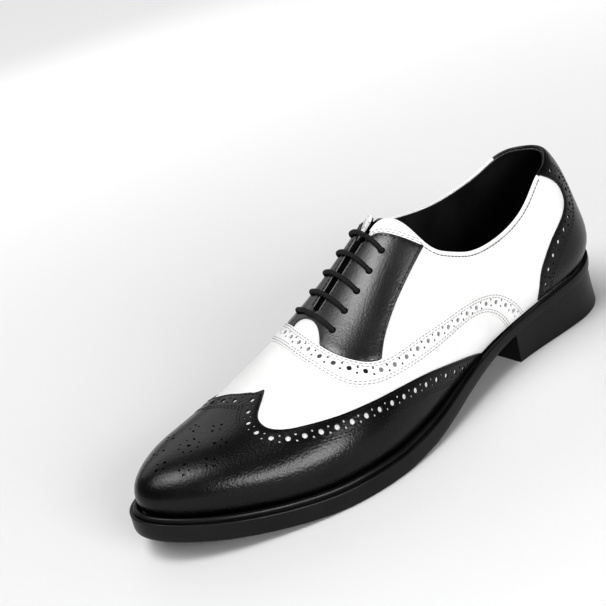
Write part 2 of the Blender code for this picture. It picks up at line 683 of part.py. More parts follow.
def build_counter():
    sides = ((COUNTER_OUTER, 1), (COUNTER_INNER, -1))
    edge = [smooth_line(pattern(rows, side), EDGE_SPACING) for rows, side in sides]
    rows = [Edge(row.x, row.share + COUNTER_TOP_CLEARANCE) for row in TOPLINE_OUTER[:2]]
    back = flat(np.array(0.0), HEEL_TOP_SHARE + COUNTER_TOP_CLEARANCE)
    top = np.vstack([pattern(rows[::-1], 1), back, pattern(rows, -1)])
    top = smooth_line(np.vstack([edge[0][-1], top, edge[1][-1]]), EDGE_SPACING)[1:-1]
    heel = foot_line(COUNTER_LOWER[0].x, -1)
    build_overlay("counter", [np.vstack([edge[0], top, edge[1][::-1], heel])], BLACK_LEATHER)


def lace_path(row):
    """Bar from eyelet to eyelet: straight over the facings, bent down through both holes."""
    lift = OVERLAY_GAP + OVERLAY_THICKNESS + GAP + LACE_RADIUS
    bend = EYELET_RADIUS
    turn = np.linspace(0.0, np.pi / 2, LACE_BEND_POINTS)
    inward = np.concatenate([[0.0], bend * (1 - np.cos(turn))])
    height = np.concatenate([[-LACE_END_DEPTH], lift - bend + bend * np.sin(turn)])
    middle = np.mean([eyelet_centre(row, side)[0] for side in (1, -1)])
    crest = np.array([middle, spine(middle)])
    halves = []
    for side in (1, -1):
        centre = eyelet_centre(row, side)
        toward = (crest - centre) / np.linalg.norm(crest - centre)
        steps = inward / stretch(centre)[1]
        ends = [lifted(np.array([centre + toward * step]), up)[0] for step, up in zip(steps, height)]
        run = [centre + (crest - centre) * t for t in LACE_RUN_SHARES]
        halves.append(np.vstack([ends, lifted(np.array(run), lift)]))
    return np.vstack([halves[0], lifted(np.array([crest]), lift), halves[1][::-1]])


def build_lace_bars():
    surface = material("laces", LACE_COTTON)
    for row in range(LACE_ROWS):
        curve = bpy.data.curves.new(f"lace_bar_{row + 1}", "CURVE")
        curve.dimensions = "3D"
        curve.bevel_depth = LACE_RADIUS * METRES_PER_MM
        curve.bevel_resolution = 1
        curve.use_fill_caps = True
        path = (lace_path(row) - (CENTRE_X, CENTRE_Y, 0.0)) * METRES_PER_MM
        line = curve.splines.new("POLY")
        line.points.add(len(path) - 1)
        line.points.foreach_set("co", np.column_stack([path, np.ones(len(path))]).ravel())
        curve.materials.append(surface)
        made = bpy.data.objects.new(curve.name, curve)
        made.parent = shoe
        bpy.context.scene.collection.objects.link(made)


for old in list(bpy.data.objects):
    bpy.data.objects.remove(old, do_unlink=True)
shoe = bpy.data.objects.new("shoe", None)
bpy.context.scene.collection.objects.link(shoe)
build_outsole()
build_welt()
build_heel()
build_insole()
build_upper()
build_tongue()
build_wing_cap()
build_vamp_band()
build_facing("facing_lateral", 1)
build_facing("facing_medial", -1)
build_counter()
build_lace_bars()
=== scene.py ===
import bpy
import numpy as np
from mathutils import Matrix
from mathutils.geometry import delaunay_2d_cdt


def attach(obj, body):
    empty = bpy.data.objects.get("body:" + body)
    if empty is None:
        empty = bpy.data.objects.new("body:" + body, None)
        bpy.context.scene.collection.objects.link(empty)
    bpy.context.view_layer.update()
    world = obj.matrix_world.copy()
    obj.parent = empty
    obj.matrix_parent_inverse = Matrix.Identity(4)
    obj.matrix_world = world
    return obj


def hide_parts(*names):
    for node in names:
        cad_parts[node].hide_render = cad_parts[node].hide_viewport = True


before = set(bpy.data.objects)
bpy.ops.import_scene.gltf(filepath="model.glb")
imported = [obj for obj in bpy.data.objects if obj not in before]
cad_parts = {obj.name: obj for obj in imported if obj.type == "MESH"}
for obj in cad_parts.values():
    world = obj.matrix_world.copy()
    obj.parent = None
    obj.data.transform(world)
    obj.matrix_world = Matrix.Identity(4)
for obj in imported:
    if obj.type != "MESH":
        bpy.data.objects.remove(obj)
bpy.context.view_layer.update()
print("frame loaded:", len(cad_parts), "nodes")

# Lengths are millimetres: x from the heel's back to the toe, y to the outer side, z up.
# newPiece makes them metres about the frame's centre.
frameCentre = np.array((153.38, -0.11, 0.0))
metresPerMm = 0.001

lastShape = {
    "columns": ("x", "outer", "inner", "spine", "ridge", "across", "up", "swell", "margin"),
    "rows": (
        (9, 12.5, -15.3, -1.4, 102.5, 2.70, 2.50, 3.5, 3.6),
        (24, 24.0, -26.8, -1.4, 103.0, 2.70, 2.45, 3.4, 3.3),
        (50, 27.6, -29.6, -1.3, 106.0, 2.70, 2.40, 3.1, 2.9),
        (80, 28.1, -27.4, -0.8, 111.5, 2.70, 2.35, 2.4, 2.8),
        (104, 30.4, -25.8, -0.4, 114.2, 2.60, 2.25, 1.8, 3.2),
        (122, 33.6, -26.3, -0.4, 109.0, 2.40, 2.15, 1.5, 3.9),
        (140, 37.5, -29.1, -1.1, 98.5, 2.20, 2.05, 1.4, 4.9),
        (160, 42.0, -35.2, -2.1, 84.9, 2.05, 2.00, 1.6, 5.8),
        (182, 45.8, -43.0, -2.8, 70.8, 2.00, 2.00, 1.8, 6.3),
        (204, 47.1, -47.1, -2.8, 59.1, 2.15, 2.15, 2.0, 6.3),
        (226, 44.1, -46.4, -2.4, 49.7, 2.30, 2.40, 2.1, 6.3),
        (248, 37.1, -41.2, -2.2, 43.9, 2.50, 2.60, 2.0, 6.3),
        (268, 28.3, -33.2, -2.0, 42.8, 2.60, 2.70, 1.9, 6.5),
        (288, 16.3, -20.8, -1.8, 43.3, 2.65, 2.70, 1.7, 6.6),
    ),
    "heelBack": (4.0, -1.4),
    "toeTip": (301.0, -1.6),
    "swellHeight": 13.5,
    "heelPivot": 38.0,
    "toePivot": 266.0,
    "pivotSoftness": 6.0,
    "patternSpread": 2.0,
    "edgeSamples": 3001,
    "slopeStep": 1e-4,
    "normalShares": (0.012, 0.996),  # normals are taken between these shares
}

soleShape = {
    "arch": ((0, 25.0), (45, 21.2), (90, 16.4), (116, 12.6), (140, 7.6), (164, 2.6), (190, 0.0)),  # x, height
    "treadFrom": 190.0,
    "treadTo": 222.0,
    "toeEnd": 308.0,
    "toeSpring": 16.5,
    "toeSpringPower": 1.7,
    "thickness": 5.7,
    "forepartExtra": 1.7,
    "forepart": (70.0, 190.0),
    "rimRise": 1.8,
    "rimFade": 0.9,
    "toeDrop": 2.0,
    "weltHeight": 2.3,
    "gap": 0.35,
}


# natural cubic through the rows: bends from a tridiagonal system, straight on beyond both ends
def naturalCurve(xs, ys):
    xs = np.array(xs, float)
    ys = np.array(ys, float)
    step = np.diff(xs)
    slope = np.diff(ys) / step
    mid = np.arange(1, len(xs) - 1)
    system = np.eye(len(xs))
    system[mid, mid - 1] = step[:-1]
    system[mid, mid] = 2 * (step[:-1] + step[1:])
    system[mid, mid + 1] = step[1:]
    right = np.zeros(len(xs))
    right[1:-1] = 6 * np.diff(slope)
    bend = np.linalg.solve(system, right)
    first = slope[0] - step[0] * bend[1] / 6
    last = slope[-1] + step[-1] * bend[-2] / 6

    # value at x from the two bends of the stretch it lies in
    def at(x):
        within = np.clip(x, xs[0], xs[-1])
        i = np.clip(np.searchsorted(xs, within) - 1, 0, len(xs) - 2)
        past = within - xs[i]
        left = xs[i + 1] - within
        value = (bend[i] * left**3 + bend[i + 1] * past**3) / (6 * step[i])
        value += (ys[i] / step[i] - bend[i] * step[i] / 6) * left
        value += (ys[i + 1] / step[i] - bend[i + 1] * step[i] / 6) * past
        return value + first * np.minimum(x - xs[0], 0) + last * np.maximum(x - xs[-1], 0)

    return at


# periodic cubic through the points, by chord length, u from 0 to 1
def closedCurve(points):
    points = np.array(points, float)
    count = len(points)
    here = np.arange(count)
    ahead = np.roll(points, -1, axis=0)
    chord = np.linalg.norm(ahead - points, axis=1)
    before = np.roll(chord, 1)
    start = np.concatenate([[0.0], np.cumsum(chord)])
    system = np.zeros((count, count))
    system[here, here - 1] = before
    system[here, here] = 2 * (before + chord)
    system[here, (here + 1) % count] = chord
    slope = (ahead - points) / chord[:, None]
    bend = np.linalg.solve(system, 6 * (slope - np.roll(slope, 1, axis=0)))

    # point at u from the two bends of the chord it lies on
    def at(u):
        along = np.mod(u, 1.0) * start[-1]
        i = np.clip(np.searchsorted(start, along, side="right") - 1, 0, count - 1)
        j = (i + 1) % count
        whole = chord[i][..., None]
        past = (along - start[i])[..., None]
        left = whole - past
        curve = (bend[i] * left**3 + bend[j] * past**3) / (6 * whole)
        curve += (points[i] / whole - bend[i] * whole / 6) * left
        return curve + (points[j] / whole - bend[j] * whole / 6) * past

    return at, start[:-1] / start[-1]


lastRows = np.array(lastShape["rows"])
lastColumn = {name: lastRows[:, i] for i, name in enumerate(lastShape["columns"])}
lastCurve = {name: naturalCurve(lastColumn["x"], column)
             for name, column in lastColumn.items() if name != "x"}
spine = lastCurve["spine"]
margin = lastCurve["margin"]
arch = naturalCurve(*np.array(soleShape["arch"]).T)
outerFeather = np.column_stack([lastColumn["x"], lastColumn["outer"]])
innerFeather = np.column_stack([lastColumn["x"], lastColumn["inner"]])[::-1]
feather, featherU = closedCurve(
    np.vstack([lastShape["heelBack"], outerFeather, lastShape["toeTip"], innerFeather]))
toeU = featherU[len(lastRows) + 1]
outerU = np.linspace(0.0, toeU, lastShape["edgeSamples"])
innerU = np.linspace(1.0, toeU, lastShape["edgeSamples"])
outerX = np.maximum.accumulate(feather(outerU)[:, 0])
innerX = np.maximum.accumulate(feather(innerU)[:, 0])


# place on the feather edge of the rib whose foot is at x, outer side 1, inner side -1
def ribU(x, side):
    return np.interp(x, outerX, outerU) if side > 0 else np.interp(x, innerX, innerU)


# run from the tread (0) to the toe's end (1), bent by a power
def toeRun(x):
    toe = np.clip((x - soleShape["treadTo"]) / (soleShape["toeEnd"] - soleShape["treadTo"]), 0.0, None)
    return toe ** soleShape["toeSpringPower"]


# height of the sole's underside: arch rows behind the tread, the toe spring beyond it
def underside(x):
    return np.where(x < soleShape["treadFrom"], np.maximum(arch(x), 0.0), soleShape["toeSpring"] * toeRun(x))


# smooth step from the waist (0) to the full forepart (1)
def forepart(x):
    low, high = soleShape["forepart"]
    t = np.clip((x - low) / (high - low), 0.0, 1.0)
    return t * t * (3 - 2 * t)


# top of the sole: its underside plus a thickness that grows into the forepart
def soleTop(x):
    return underside(x) + soleShape["thickness"] + soleShape["forepartExtra"] * forepart(x)


# rim of the sole, raised along the forepart and less so at the toe
def rimTop(x):
    return soleTop(x) + soleShape["rimRise"] * forepart(x) * (1 - soleShape["rimFade"] * toeRun(x))


# tread of the sole, fuller than its underside toward the toe
def tread(x):
    return underside(x) - soleShape["toeDrop"] * toeRun(x)


# feather edge: sole, gap, and the welt's height as it rises into the forepart
def weltTop(x):
    return soleTop(x) + soleShape["gap"] + soleShape["weltHeight"] * forepart(x)


# each rib runs from its foot on the feather edge to its head on the crest, held between two soft pivots
def ribs(u):
    foot = feather(u)
    soft = lastShape["pivotSoftness"]
    pastHeel = np.logaddexp(0.0, (foot[..., 0] - lastShape["heelPivot"]) / soft)
    pastToe = np.logaddexp(0.0, (foot[..., 0] - lastShape["toePivot"]) / soft)
    headX = lastShape["heelPivot"] + soft * (pastHeel - pastToe)
    return foot, np.stack([headX, spine(headX)], axis=-1)


# the last: a superellipse quarter on each rib, share 0 at the crest and 1 at the feather,
# plus a swell over the welt
def skin(u, share):
    foot, head = ribs(u)
    reach = np.linalg.norm(head - foot, axis=-1)
    inward = (head - foot) / reach[..., None]
    x = foot[..., 0]
    angle = (1.0 - share) * np.pi / 2
    across = np.clip(np.cos(angle), 0.0, 1.0) ** (2 / lastCurve["across"](x))
    up = np.clip(np.sin(angle), 0.0, 1.0) ** (2 / lastCurve["up"](x))
    plan = foot + inward * (reach * (1 - across))[..., None]
    low = weltTop(x)
    height = low + (lastCurve["ridge"](plan[..., 0]) - low) * up
    t = (height - low) / lastShape["swellHeight"]
    plan = plan - inward * (lastCurve["swell"](x) * (t * np.exp(1 - t)) ** 2)[..., None]
    return np.concatenate([plan, height[..., None]], axis=-1)


# vectors divided by their own lengths
def unit(vectors):
    tiny = 1e-12
    return vectors / np.maximum(np.linalg.norm(vectors, axis=-1, keepdims=True), tiny)


# square to the skin: cross product of its slopes along the feather and down the rib
def skinNormal(u, share):
    step = lastShape["slopeStep"]
    share = np.clip(share, *lastShape["normalShares"])
    along = skin(u + step, share) - skin(u - step, share)
    down = skin(u, share + step) - skin(u, share - step)
    return unit(np.cross(along, down))


patternWork = {  # counts, steps and limits of the work on the flat pattern
    "ribHalvings": 34,
    "shareSteps": 9,
    "lineSamples": 400,
    "step": 0.05,
    "firmness": 1e-6,
    "besideSteps": 4,
    "farSteps": 10,
    "pointsAtOnce": 4000,
    "mitreShare": 0.97,
}


# flat pattern: each rib laid out straight from the crest, spread toward its foot by share + spread * share^4
def flat(u, share):
    foot, head = ribs(u)
    share = np.asarray(share)
    return head + (foot - head) * (share + lastShape["patternSpread"] * share**4)[..., None]


# rib and share of pattern points: the rib by halving between heel and toe,
# the share by steps of its error over its slope
def unflatten(points):
    outer = points[:, 1] >= spine(points[:, 0])
    heelward = np.where(outer, 0.0, 1.0)
    toeward = np.full(len(points), toeU)
    for _ in range(patternWork["ribHalvings"]):
        middle = (heelward + toeward) / 2
        foot, head = ribs(middle)
        run = foot - head
        gone = points - head
        ahead = (run[:, 0] * gone[:, 1] - run[:, 1] * gone[:, 0] < 0) == outer
        heelward = np.where(ahead, middle, heelward)
        toeward = np.where(ahead, toeward, middle)
    foot, head = ribs(heelward)
    run = np.linalg.norm(points - head, axis=1) / np.linalg.norm(foot - head, axis=1)
    spread = lastShape["patternSpread"]
    share = np.ones(len(points))
    for _ in range(patternWork["shareSteps"]):
        share = share - (share + spread * share**4 - run) / (1 + 4 * spread * share**3)
    return heelward, np.clip(share, 0.0, 1.0)


# pattern points on the skin: their places and the normals there
def onSkin(points):
    u, share = unflatten(np.asarray(points, float))
    return skin(u, share), skinNormal(u, share)


# pattern points on the shoe, a height off the skin
def lifted(points, height=0.0):
    places, normals = onSkin(points)
    return places + normals * np.broadcast_to(height, len(places))[:, None]


# rows of x and share as pattern points; a share below zero lies past the crest, on the other side
def pattern(rows, side):
    x, share = np.array(rows).T
    u = np.where(share >= 0, ribU(x, side), ribU(x, -side))
    return flat(u, np.abs(share))


# length gone at each point of a line: running sum of its steps
def travelled(places):
    return np.concatenate([[0.0], np.cumsum(np.linalg.norm(np.diff(places, axis=0), axis=1))])


# cubic through pattern points, sampled evenly by its length on the shoe
def smoothLine(points, spacing):
    points = np.array(points, float)
    along = travelled(points)
    curves = [naturalCurve(along, points[:, axis]) for axis in (0, 1)]
    fine = np.linspace(0.0, along[-1], patternWork["lineSamples"])
    gone = travelled(lifted(np.column_stack([curve(fine) for curve in curves])))
    count = max(3, int(round(gone[-1] / spacing)) + 1)
    wanted = np.interp(np.linspace(0.0, gone[-1], count), gone, fine)
    return np.column_stack([curve(wanted) for curve in curves])


# pattern points at given lengths along a line on the shoe
def atLengths(line, lengths):
    gone = travelled(lifted(line))
    return np.column_stack([np.interp(lengths, gone, line[:, axis]) for axis in (0, 1)])


# local slopes of the lift in both pattern directions, and their squares' matrix
def slopes(points):
    step = patternWork["step"]
    along = (lifted(points + (step, 0)) - lifted(points - (step, 0))) / (2 * step)
    across = (lifted(points + (0, step)) - lifted(points - (0, step))) / (2 * step)
    slope = np.stack([along, across], axis=-1)
    return slope, np.einsum("nki,nkj->nij", slope, slope) + patternWork["firmness"] * np.eye(2)


# pattern points moved by steps on the skin: least squares on the local slopes
def slide(points, steps):
    slope, square = slopes(points)
    right = np.einsum("nki,nk->ni", slope, steps)
    return points + np.linalg.solve(square, right[..., None])[..., 0]


# directions on the skin along a line and to its left
def lineFrame(line):
    places, normals = onSkin(line)
    along = unit(np.gradient(places, axis=0))
    return along, unit(np.cross(normals, along)), normals


# line moved sideways over the skin in even steps
def rowBeside(line, distance, side):
    count = patternWork["besideSteps"]
    for _ in range(count):
        left = lineFrame(line)[1]
        line = slide(line, left * side * distance / count)
    return line


# even-odd test against a closed loop, some thousands of points at a time
def inside(points, loop):
    start = loop[:, None]
    end = np.roll(loop, -1, axis=0)[:, None]
    rise = np.where(end[..., 1] == start[..., 1], 1.0, end[..., 1] - start[..., 1])
    found = []
    for part in np.array_split(points, len(points) // patternWork["pointsAtOnce"] + 1):
        crosses = (start[..., 1] > part[:, 1]) != (end[..., 1] > part[:, 1])
        atX = start[..., 0] + (part[:, 1] - start[..., 1]) * (end[..., 0] - start[..., 0]) / rise
        found.append((crosses & (part[:, 0] < atX)).sum(axis=0) % 2 == 1)
    return np.concatenate(found)


# longest unbroken stretch of the points that pass
def longestRun(passes):
    change = np.flatnonzero(np.diff(np.concatenate([[0], passes.astype(int), [0]])))
    starts, ends = change[::2], change[1::2]
    best = np.argmax(ends - starts)
    return slice(starts[best], ends[best])


# row beside an edge, kept inside its panel and ending in a mitre where another edge comes as near
def rowInPanel(edge, distance, side, outline, other):
    row = rowBeside(edge, distance, side)
    otherPlaces = lifted(other)
    apart = np.sqrt(((lifted(row)[:, None] - otherPlaces[None]) ** 2).sum(axis=2).min(axis=1))
    return row[longestRun(inside(row, outline) & (apart > patternWork["mitreShare"] * distance))]


nets = {"fine": 1.9, "coarse": 4.2, "middleRib": 205.0, "ribSamples": 600, "ringSamples": 2401}


# grid of the skin: rows a spacing apart down the middle rib, each sampled evenly round the shoe,
# every other row shifted by half
def leatherNet(spacing):
    shares = np.linspace(0.0, 1.0, nets["ribSamples"])
    middleRib = travelled(skin(np.full(len(shares), ribU(nets["middleRib"], 1)), shares))
    rowShares = np.interp(np.arange(spacing / 2, middleRib[-1], spacing), middleRib, shares)
    ring = np.linspace(0.0, 1.0, nets["ringSamples"])
    rows = []
    for i, share in enumerate(rowShares):
        gone = travelled(skin(ring, np.full(len(ring), share)))
        count = int(gone[-1] / spacing)
        u = np.interp((np.arange(count) + 0.5 * (i % 2)) * gone[-1] / count, gone, ring)
        rows.append(flat(u, np.full(count, share)))
    points = np.concatenate(rows)
    return points, lifted(points)


fineNet = leatherNet(nets["fine"])
coarseNet = leatherNet(nets["coarse"])
print("leather nets:", len(fineNet[0]), len(coarseNet[0]), "points")


# circles of a true radius on the skin: unit circle times the inverse root of the slopes' matrix
def circlesOn(centres, radius, sides):
    values, vectors = np.linalg.eigh(slopes(centres)[1])
    shrink = np.einsum("nij,nj,nkj->nik", vectors, values**-0.5, vectors)
    turn = np.arange(sides) * 2 * np.pi / sides
    circle = np.column_stack([np.cos(turn), np.sin(turn)])
    return centres[:, None] + radius * np.einsum("nij,sj->nsi", shrink, circle)


cutting = {"clearance": 0.85, "punchShare": 0.7, "placesAtOnce": 400, "weld": 1e-6, "edgeDrop": 0.25}


# leather cut to a pattern: outline, inner openings and punched circles, triangulated with the net
# points that lie clear of them
def cutLeather(outline, openings=(), punches=(), net=fineNet):
    clearance = cutting["clearance"]
    rounds = [loop for centres, radius, sides in punches for loop in circlesOn(centres, radius, sides)]
    loops = [outline, *openings, *rounds]
    border = np.concatenate(loops)
    netFlat, netPlaces = net
    within = inside(netFlat, outline)
    for opening in openings:
        within &= ~inside(netFlat, opening)
    netFlat = netFlat[within]
    netPlaces = netPlaces[within]
    borderPlaces = lifted(border)
    clear = np.full(len(netFlat), True)
    for part in np.array_split(borderPlaces, len(borderPlaces) // cutting["placesAtOnce"] + 1):
        clear &= ((netPlaces[:, None] - part[None]) ** 2).sum(axis=2).min(axis=1) > clearance**2
    for centres, radius, sides in punches:
        away = ((netPlaces[:, None] - lifted(centres)[None]) ** 2).sum(axis=2).min(axis=1)
        clear &= away > (radius + cutting["punchShare"] * clearance) ** 2
    starts = np.cumsum([0] + [len(loop) for loop in loops])
    edges = np.concatenate([
        start + np.column_stack([np.arange(len(loop)), (np.arange(len(loop)) + 1) % len(loop)])
        for start, loop in zip(starts, loops)])
    points = np.concatenate([border, netFlat[clear]])
    made = delaunay_2d_cdt(points.tolist(), edges.tolist(), [], 0, cutting["weld"])
    points = np.array([tuple(point) for point in made[0]])
    faces = np.array(made[2])
    origin = np.array([ids[0] if ids else len(border) for ids in made[3]])
    corners = np.searchsorted(starts, origin, side="right")[faces]  # which loop each corner lies on
    onRound = (corners[:, 0] > 1 + len(openings)) & (corners[:, 0] <= len(loops))
    punched = onRound & (corners == corners[:, :1]).all(axis=1)
    middle = points[faces].mean(axis=1)
    keep = inside(middle, outline) & ~punched
    for opening in openings:
        keep &= ~inside(middle, opening)
    used, faces = np.unique(faces[keep], return_inverse=True)
    return points[used], faces.reshape(-1, 3), origin[used] < starts[1 + len(openings)]


# closed sheet of cut leather between two heights, its outer rim dropped for a rounded edge
def sheetOf(cut, low, high, edgeDrop=cutting["edgeDrop"]):
    points, faces, outer = cut
    count = len(points)
    edges = np.concatenate([faces[:, [0, 1]], faces[:, [1, 2]], faces[:, [2, 0]]])
    single = ~np.isin(edges[:, 0] * count + edges[:, 1], edges[:, 1] * count + edges[:, 0])
    rim = edges[single]
    top = high - edgeDrop * outer
    places, normals = onSkin(points)
    vertices = np.concatenate([places + normals * top[:, None], places + normals * low])
    walls = np.column_stack([rim[:, 1], rim[:, 0], rim[:, 0] + count, rim[:, 1] + count])
    return vertices, [faces, faces[:, ::-1] + count, walls]


# solids side by side in one mesh
def joined(*solids):
    vertices = []
    faces = []
    start = 0
    for points, faceSets in solids:
        vertices.append(points)
        faces += [np.asarray(faceSet) + start for faceSet in faceSets]
        start += len(points)
    return np.concatenate(vertices), faces


# quads between neighbouring rings of a grid of point numbers, closed round each ring
def ringFaces(grid):
    ahead = np.roll(grid, -1, axis=1)
    return np.stack([grid[:-1], ahead[:-1], ahead[1:], grid[1:]], axis=-1).reshape(-1, 4)


# piece on the shoe's body, replacing its nodes, with smooth faces and sharp rims
def newPiece(name, solid, finish, nodes=(), sharp=40.0, uv=None):
    points, faceSets = solid
    mesh = bpy.data.meshes.new(name)
    faces = [face for faceSet in faceSets for face in np.asarray(faceSet).tolist()]
    mesh.from_pydata(((points - frameCentre) * metresPerMm).tolist(), [], faces)
    mesh.shade_smooth()
    mesh.set_sharp_from_angle(angle=np.radians(sharp))
    if uv is not None:
        corners = np.zeros(len(mesh.loops), int)
        mesh.loops.foreach_get("vertex_index", corners)
        mesh.uv_layers.new(name="UVMap").data.foreach_set("uv", uv[corners].ravel())
    mesh.materials.append(finish)
    piece = bpy.data.objects.new(name, mesh)
    bpy.context.scene.collection.objects.link(piece)
    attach(piece, "root")
    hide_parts(*nodes)
    print(name, len(mesh.polygons), "faces")
    return piece


# Finishes


# empty shader group with named inputs and outputs
def newGroup(name, inputs, outputs):
    group = bpy.data.node_groups.new(name, "ShaderNodeTree")
    for label, kind in inputs:
        group.interface.new_socket(label, in_out="INPUT", socket_type=kind)
    for label, kind in outputs:
        group.interface.new_socket(label, in_out="OUTPUT", socket_type=kind)
    start = group.nodes.new("NodeGroupInput")
    end = group.nodes.new("NodeGroupOutput")
    return group, start, end


# node with its values: properties where it has them, sockets otherwise
def addNode(tree, kind, **values):
    node = tree.nodes.new(kind)
    for key, value in values.items():
        if hasattr(node, key):
            setattr(node, key, value)
        else:
            node.inputs[key.replace("_", " ")].default_value = value
    return node


# one operation on two numbers or sockets
def addMath(tree, operation, first, second):
    node = tree.nodes.new("ShaderNodeMath")
    node.operation = operation
    for socket, value in zip(node.inputs, (first, second)):
        if isinstance(value, (int, float)):
            socket.default_value = value
        else:
            tree.links.new(value, socket)
    return node.outputs[0]


grainShape = {"warpScale": 0.4, "warpReach": 0.0006, "poreScale": 2.6, "poreHeight": 0.4, "mottleScale": 38.0}
rubShape = {"turn": (0.2, 0.3, 0.5), "stretch": (60.0, 900.0, 900.0), "thin": (0.6, 0.78),
            "patchScale": 22.0, "roughness": 0.12}
braidStrands = 4


# hide: rounded cells from a warped cell texture plus fine pores; mottle: slow noise over the panel
def makeHideGroup():
    group, start, end = newGroup(
        "hideGrain",
        [("Vector", "NodeSocketVector"), ("Scale", "NodeSocketFloat")],
        [("Height", "NodeSocketFloat"), ("Mottle", "NodeSocketFloat")])
    links = group.links
    warp = addNode(group, "ShaderNodeTexNoise", Detail=2.0)
    links.new(start.outputs["Vector"], warp.inputs["Vector"])
    coarser = addMath(group, "MULTIPLY", start.outputs["Scale"], grainShape["warpScale"])
    links.new(coarser, warp.inputs["Scale"])
    push = addNode(group, "ShaderNodeVectorMath", operation="MULTIPLY_ADD")
    push.inputs[1].default_value = (grainShape["warpReach"],) * 3
    links.new(warp.outputs["Color"], push.inputs[0])
    links.new(start.outputs["Vector"], push.inputs[2])
    cells = addNode(group, "ShaderNodeTexVoronoi", feature="SMOOTH_F1", Smoothness=0.6)
    links.new(push.outputs[0], cells.inputs["Vector"])
    links.new(start.outputs["Scale"], cells.inputs["Scale"])
    pores = addNode(group, "ShaderNodeTexNoise", Detail=3.0)
    links.new(start.outputs["Vector"], pores.inputs["Vector"])
    finer = addMath(group, "MULTIPLY", start.outputs["Scale"], grainShape["poreScale"])
    links.new(finer, pores.inputs["Scale"])
    domes = addMath(group, "SUBTRACT", 1.0, cells.outputs["Distance"])
    pitting = addMath(group, "MULTIPLY", pores.outputs["Fac"], grainShape["poreHeight"])
    height = addMath(group, "ADD", domes, pitting)
    links.new(height, end.inputs["Height"])
    slow = addNode(group, "ShaderNodeTexNoise", Scale=grainShape["mottleScale"], Detail=4.0)
    links.new(start.outputs["Vector"], slow.inputs["Vector"])
    links.new(slow.outputs["Fac"], end.inputs["Mottle"])
    return group


# handling: thin stretched scratches times slow patches, 0 untouched and 1 rubbed
def makeRubGroup():
    group, start, end = newGroup("softRub", [("Vector", "NodeSocketVector")], [("Mask", "NodeSocketFloat")])
    links = group.links
    turn = addNode(group, "ShaderNodeMapping")
    turn.inputs["Rotation"].default_value = rubShape["turn"]
    turn.inputs["Scale"].default_value = rubShape["stretch"]
    links.new(start.outputs["Vector"], turn.inputs["Vector"])
    lines = addNode(group, "ShaderNodeTexNoise", Scale=1.0, Detail=2.0)
    links.new(turn.outputs["Vector"], lines.inputs["Vector"])
    patches = addNode(group, "ShaderNodeTexNoise", Scale=rubShape["patchScale"], Detail=3.0)
    links.new(start.outputs["Vector"], patches.inputs["Vector"])
    thin = addNode(group, "ShaderNodeMapRange")
    thin.inputs["From Min"].default_value = rubShape["thin"][0]
    thin.inputs["From Max"].default_value = rubShape["thin"][1]
    links.new(lines.outputs["Fac"], thin.inputs["Value"])
    links.new(addMath(group, "MULTIPLY", thin.outputs["Result"], patches.outputs["Fac"]), end.inputs["Mask"])
    return group


# braid: larger of two crossing waves over the cord's own UV
def makeBraidGroup():
    group, start, end = newGroup("cordBraid", [("UV", "NodeSocketVector")], [("Height", "NodeSocketFloat")])
    parts = addNode(group, "ShaderNodeSeparateXYZ")
    group.links.new(start.outputs["UV"], parts.inputs[0])
    along = addMath(group, "MULTIPLY", parts.outputs["X"], 2 * np.pi)
    around = addMath(group, "MULTIPLY", parts.outputs["Y"], 2 * np.pi * braidStrands)
    first = addMath(group, "SINE", addMath(group, "ADD", along, around), 0.0)
    second = addMath(group, "SINE", addMath(group, "SUBTRACT", along, around), 0.0)
    group.links.new(addMath(group, "MAXIMUM", first, second), end.inputs["Height"])
    return group


hideGrain = makeHideGroup()
softRub = makeRubGroup()
cordBraid = makeBraidGroup()


# material with its shader and its texture coordinates
def newFinish(name):
    finish = bpy.data.materials.new(name)
    finish.use_nodes = True
    tree = finish.node_tree
    return finish, tree, tree.nodes["Principled BSDF"], addNode(tree, "ShaderNodeTexCoord")


# shared group in a material, fed with coordinates and its own values
def placeGroup(tree, group, vector, **values):
    node = addNode(tree, "ShaderNodeGroup", node_tree=group)
    tree.links.new(vector, node.inputs[0])
    for key, value in values.items():
        node.inputs[key].default_value = value
    return node


noiseReach = (0.3, 0.7)  # most values of a noise lie between these


# noise stretched from its usual reach to low and high
def spread(tree, value, low, high):
    node = addNode(tree, "ShaderNodeMapRange", To_Min=low, To_Max=high)
    node.inputs["From Min"].default_value = noiseReach[0]
    node.inputs["From Max"].default_value = noiseReach[1]
    tree.links.new(value, node.inputs["Value"])
    return node.outputs["Result"]


# mix of two colours by a value from 0 to 1
def blendColours(tree, value, first, second):
    node = addNode(tree, "ShaderNodeMix", data_type="RGBA")
    node.inputs[6].default_value = (*first, 1.0)
    node.inputs[7].default_value = (*second, 1.0)
    tree.links.new(value, node.inputs[0])
    return node.outputs[2]


# height as a bump of the shader's normal
def addBump(tree, height, distance, strength, shader):
    node = addNode(tree, "ShaderNodeBump", Strength=strength, Distance=distance)
    tree.links.new(height, node.inputs["Height"])
    tree.links.new(node.outputs["Normal"], shader.inputs["Normal"])


